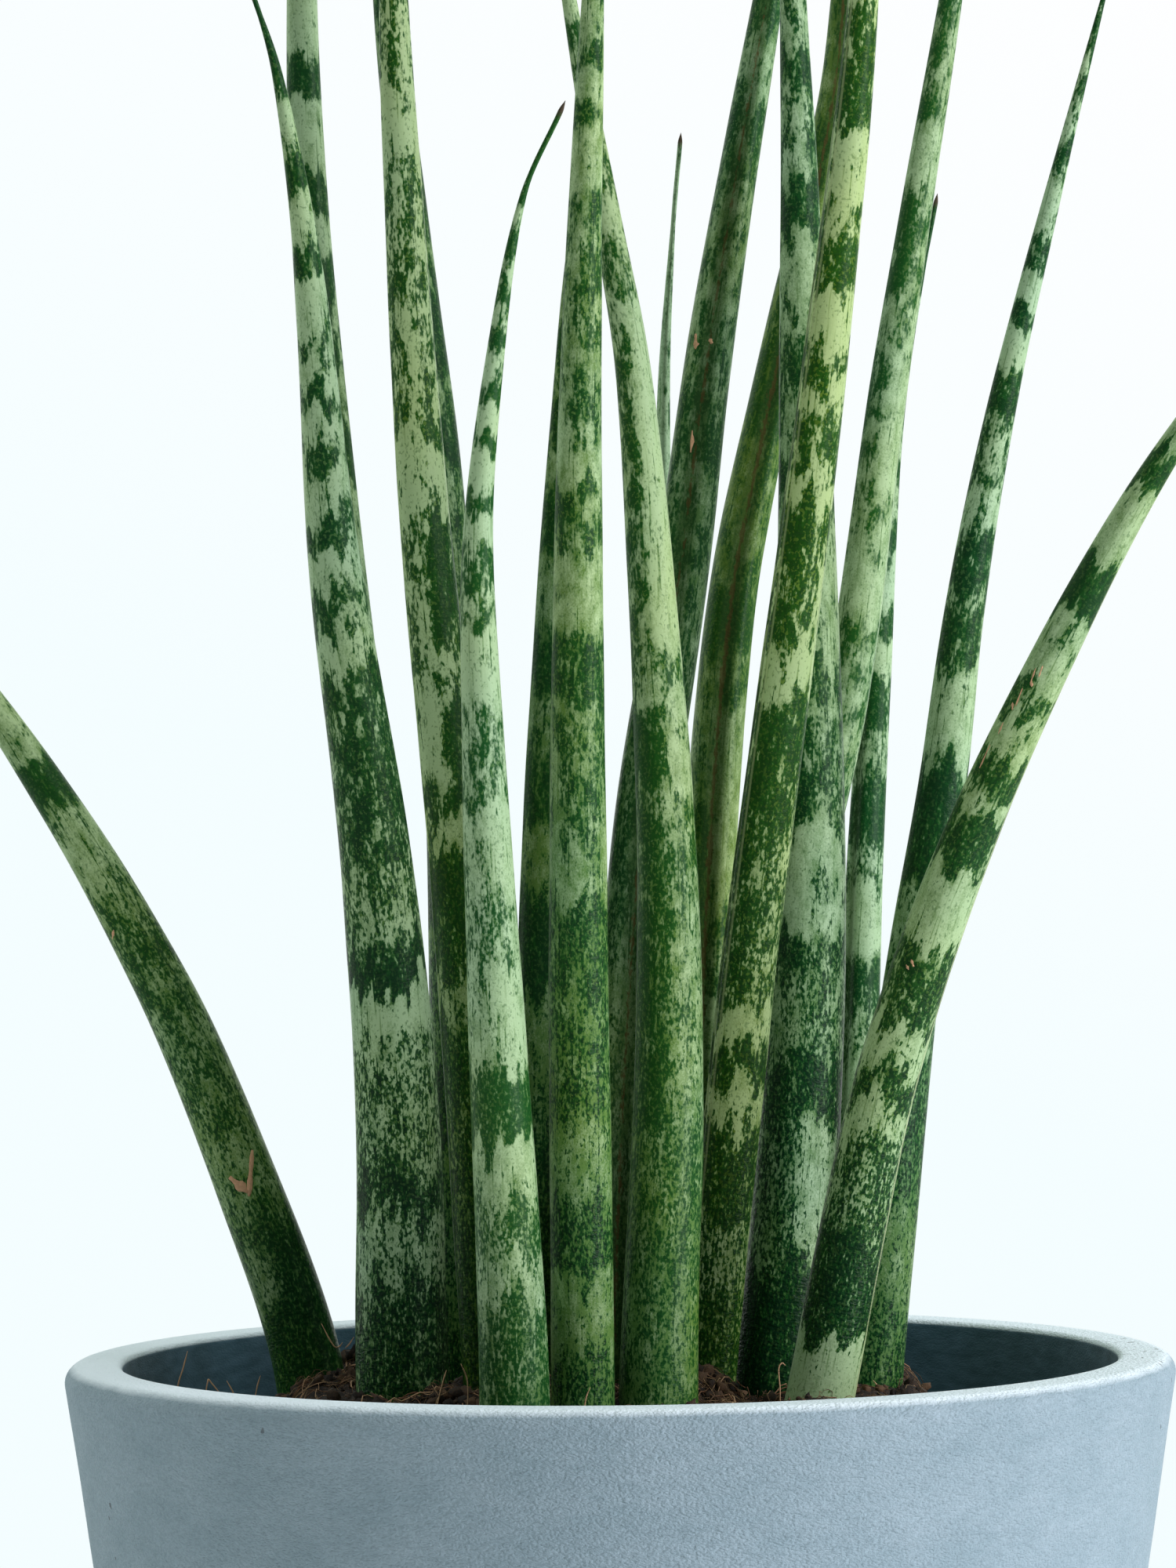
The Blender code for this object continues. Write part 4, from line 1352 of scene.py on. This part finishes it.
scars = make_scars()
wear(scars, bits_finish("scar cork", CORK_BROWN, CORK_ORANGE, 0.5))
print(sum(len(scars_here) for scars_here in SCARS.values()), "scars")

# %% [markdown]
# ## Floor, light and camera
#
# The plant was lit by a very large soft light on the right, which lays a pale sheen along the right half
# of each leaf, in front of a bright white sweep. The camera stands over a metre away and a little above
# the rim, looks level, and is tipped by less than half a degree.

# %% Floor
FLOOR_RADIUS = 0.88
FLOOR_SIDES = 128
FLOOR_BELOW = -0.0005
FLOOR_PALE = (0.86, 0.88, 0.89)


def make_floor():
    """A plain pale disc, half a millimetre under the pot."""
    points = [(0.0, 0.0, FLOOR_BELOW)]
    for j in range(FLOOR_SIDES):
        angle = 2 * math.pi * j / FLOOR_SIDES
        points.append((FLOOR_RADIUS * math.cos(angle), FLOOR_RADIUS * math.sin(angle), FLOOR_BELOW))
    floor = new_piece("floor", points, [(0, j + 1, (j + 1) % FLOOR_SIDES + 1) for j in range(FLOOR_SIDES)])
    floor.data.materials.append(Recipe("floor").finish(Base_Color=FLOOR_PALE, Roughness=0.8))


make_floor()
print("floor radius", FLOOR_RADIUS, "m")

# %% The white sweep behind, as the world
SWEEP = (0.905, 0.985, 1.0)
SWEEP_TOP = (1.0, 0.997, 1.0)
WHITER_WAY = (2.4, 0.0, 4.6)
WHITER_FROM = 0.1
ROOM = (0.94, 1.0, 0.96)
SWEEP_WAY = (-0.16, 0.77, 0.62)
SWEEP_EDGES = (-0.55, 0.85)
ROOM_LIGHT = 0.12
SWEEP_LIGHT = 1.05


def facing(recipe, way):
    """How far the look goes a given way, from -1 to 1 times the way's length."""
    look = recipe.node("TexCoord", output="Generated")
    return recipe.node("VectorMath", {"operation": "DOT_PRODUCT"}, {0: look, 1: way}, output="Value")


def make_world():
    """The camera sees an even white. A bright sweep behind and above lights the plant, in a dim room."""
    recipe = Recipe("white sweep", bpy.data.worlds)
    bpy.context.scene.world = recipe.product
    seen = recipe.tree.nodes["Background"]
    white = over(recipe, (facing(recipe, WHITER_WAY) + WHITER_FROM).clamped(), SWEEP, SWEEP_TOP)
    recipe.put(white, seen.inputs["Color"])
    strength = recipe.node("MapRange", {"interpolation_type": "SMOOTHSTEP"}, {
        "Value": facing(recipe, SWEEP_WAY), "From Min": SWEEP_EDGES[0], "From Max": SWEEP_EDGES[1],
        "To Min": ROOM_LIGHT, "To Max": SWEEP_LIGHT,
    })
    lights = recipe.node("Background", None, {"Color": ROOM, "Strength": strength})
    to_camera = recipe.node("LightPath", output="Is Camera Ray")
    mixed = recipe.node("MixShader", None, {0: to_camera, 1: lights, 2: Wire(recipe, seen.outputs[0])})
    recipe.put(mixed, recipe.tree.nodes["World Output"].inputs["Surface"])


make_world()
bpy.context.scene.view_settings.view_transform = "Standard"
print("light from the room and from the sweep:", ROOM_LIGHT, SWEEP_LIGHT)

# %% Lamps
WINDOW_PLACE = (1.40, -0.76, 0.6)
WINDOW_AIM = (0.0, 0.0, 0.3)
WINDOW_WIDTH = 1.1
WINDOW_HEIGHT = 1.4
WINDOW_POWER = 30.0
WINDOW_TINT = (0.97, 0.95, 1.0)


def soft_box(name, place, target, width, height, power, colour):
    """A rectangular area light that faces a target."""
    lamp = bpy.data.lights.new(name, "AREA")
    lamp.shape = "RECTANGLE"
    lamp.size = width
    lamp.size_y = height
    lamp.energy = power
    lamp.color = colour
    made = bpy.data.objects.new(name, lamp)
    made.location = place
    made.rotation_euler = (Vector(target) - Vector(place)).to_track_quat("-Z", "Y").to_euler()
    made.visible_camera = False
    bpy.context.scene.collection.objects.link(made)


soft_box("window", WINDOW_PLACE, WINDOW_AIM, WINDOW_WIDTH, WINDOW_HEIGHT, WINDOW_POWER, WINDOW_TINT)
print("a window on the right")

# %% The camera
CAMERA_PLACE = (-0.00506, -1.1346, 0.2766)
CAMERA_ROLL = 0.0071
LENS = 144.2


def make_camera():
    lens = bpy.data.cameras.new("camera")
    lens.lens = LENS
    lens.sensor_width = 36
    lens.clip_start = 0.05
    camera = bpy.data.objects.new("camera", lens)
    camera.location = CAMERA_PLACE
    camera.rotation_euler = (math.pi / 2, CAMERA_ROLL, 0)
    bpy.context.scene.collection.objects.link(camera)
    bpy.context.scene.camera = camera


make_camera()
print("camera at", CAMERA_PLACE)

# %% [markdown]
# ## The end
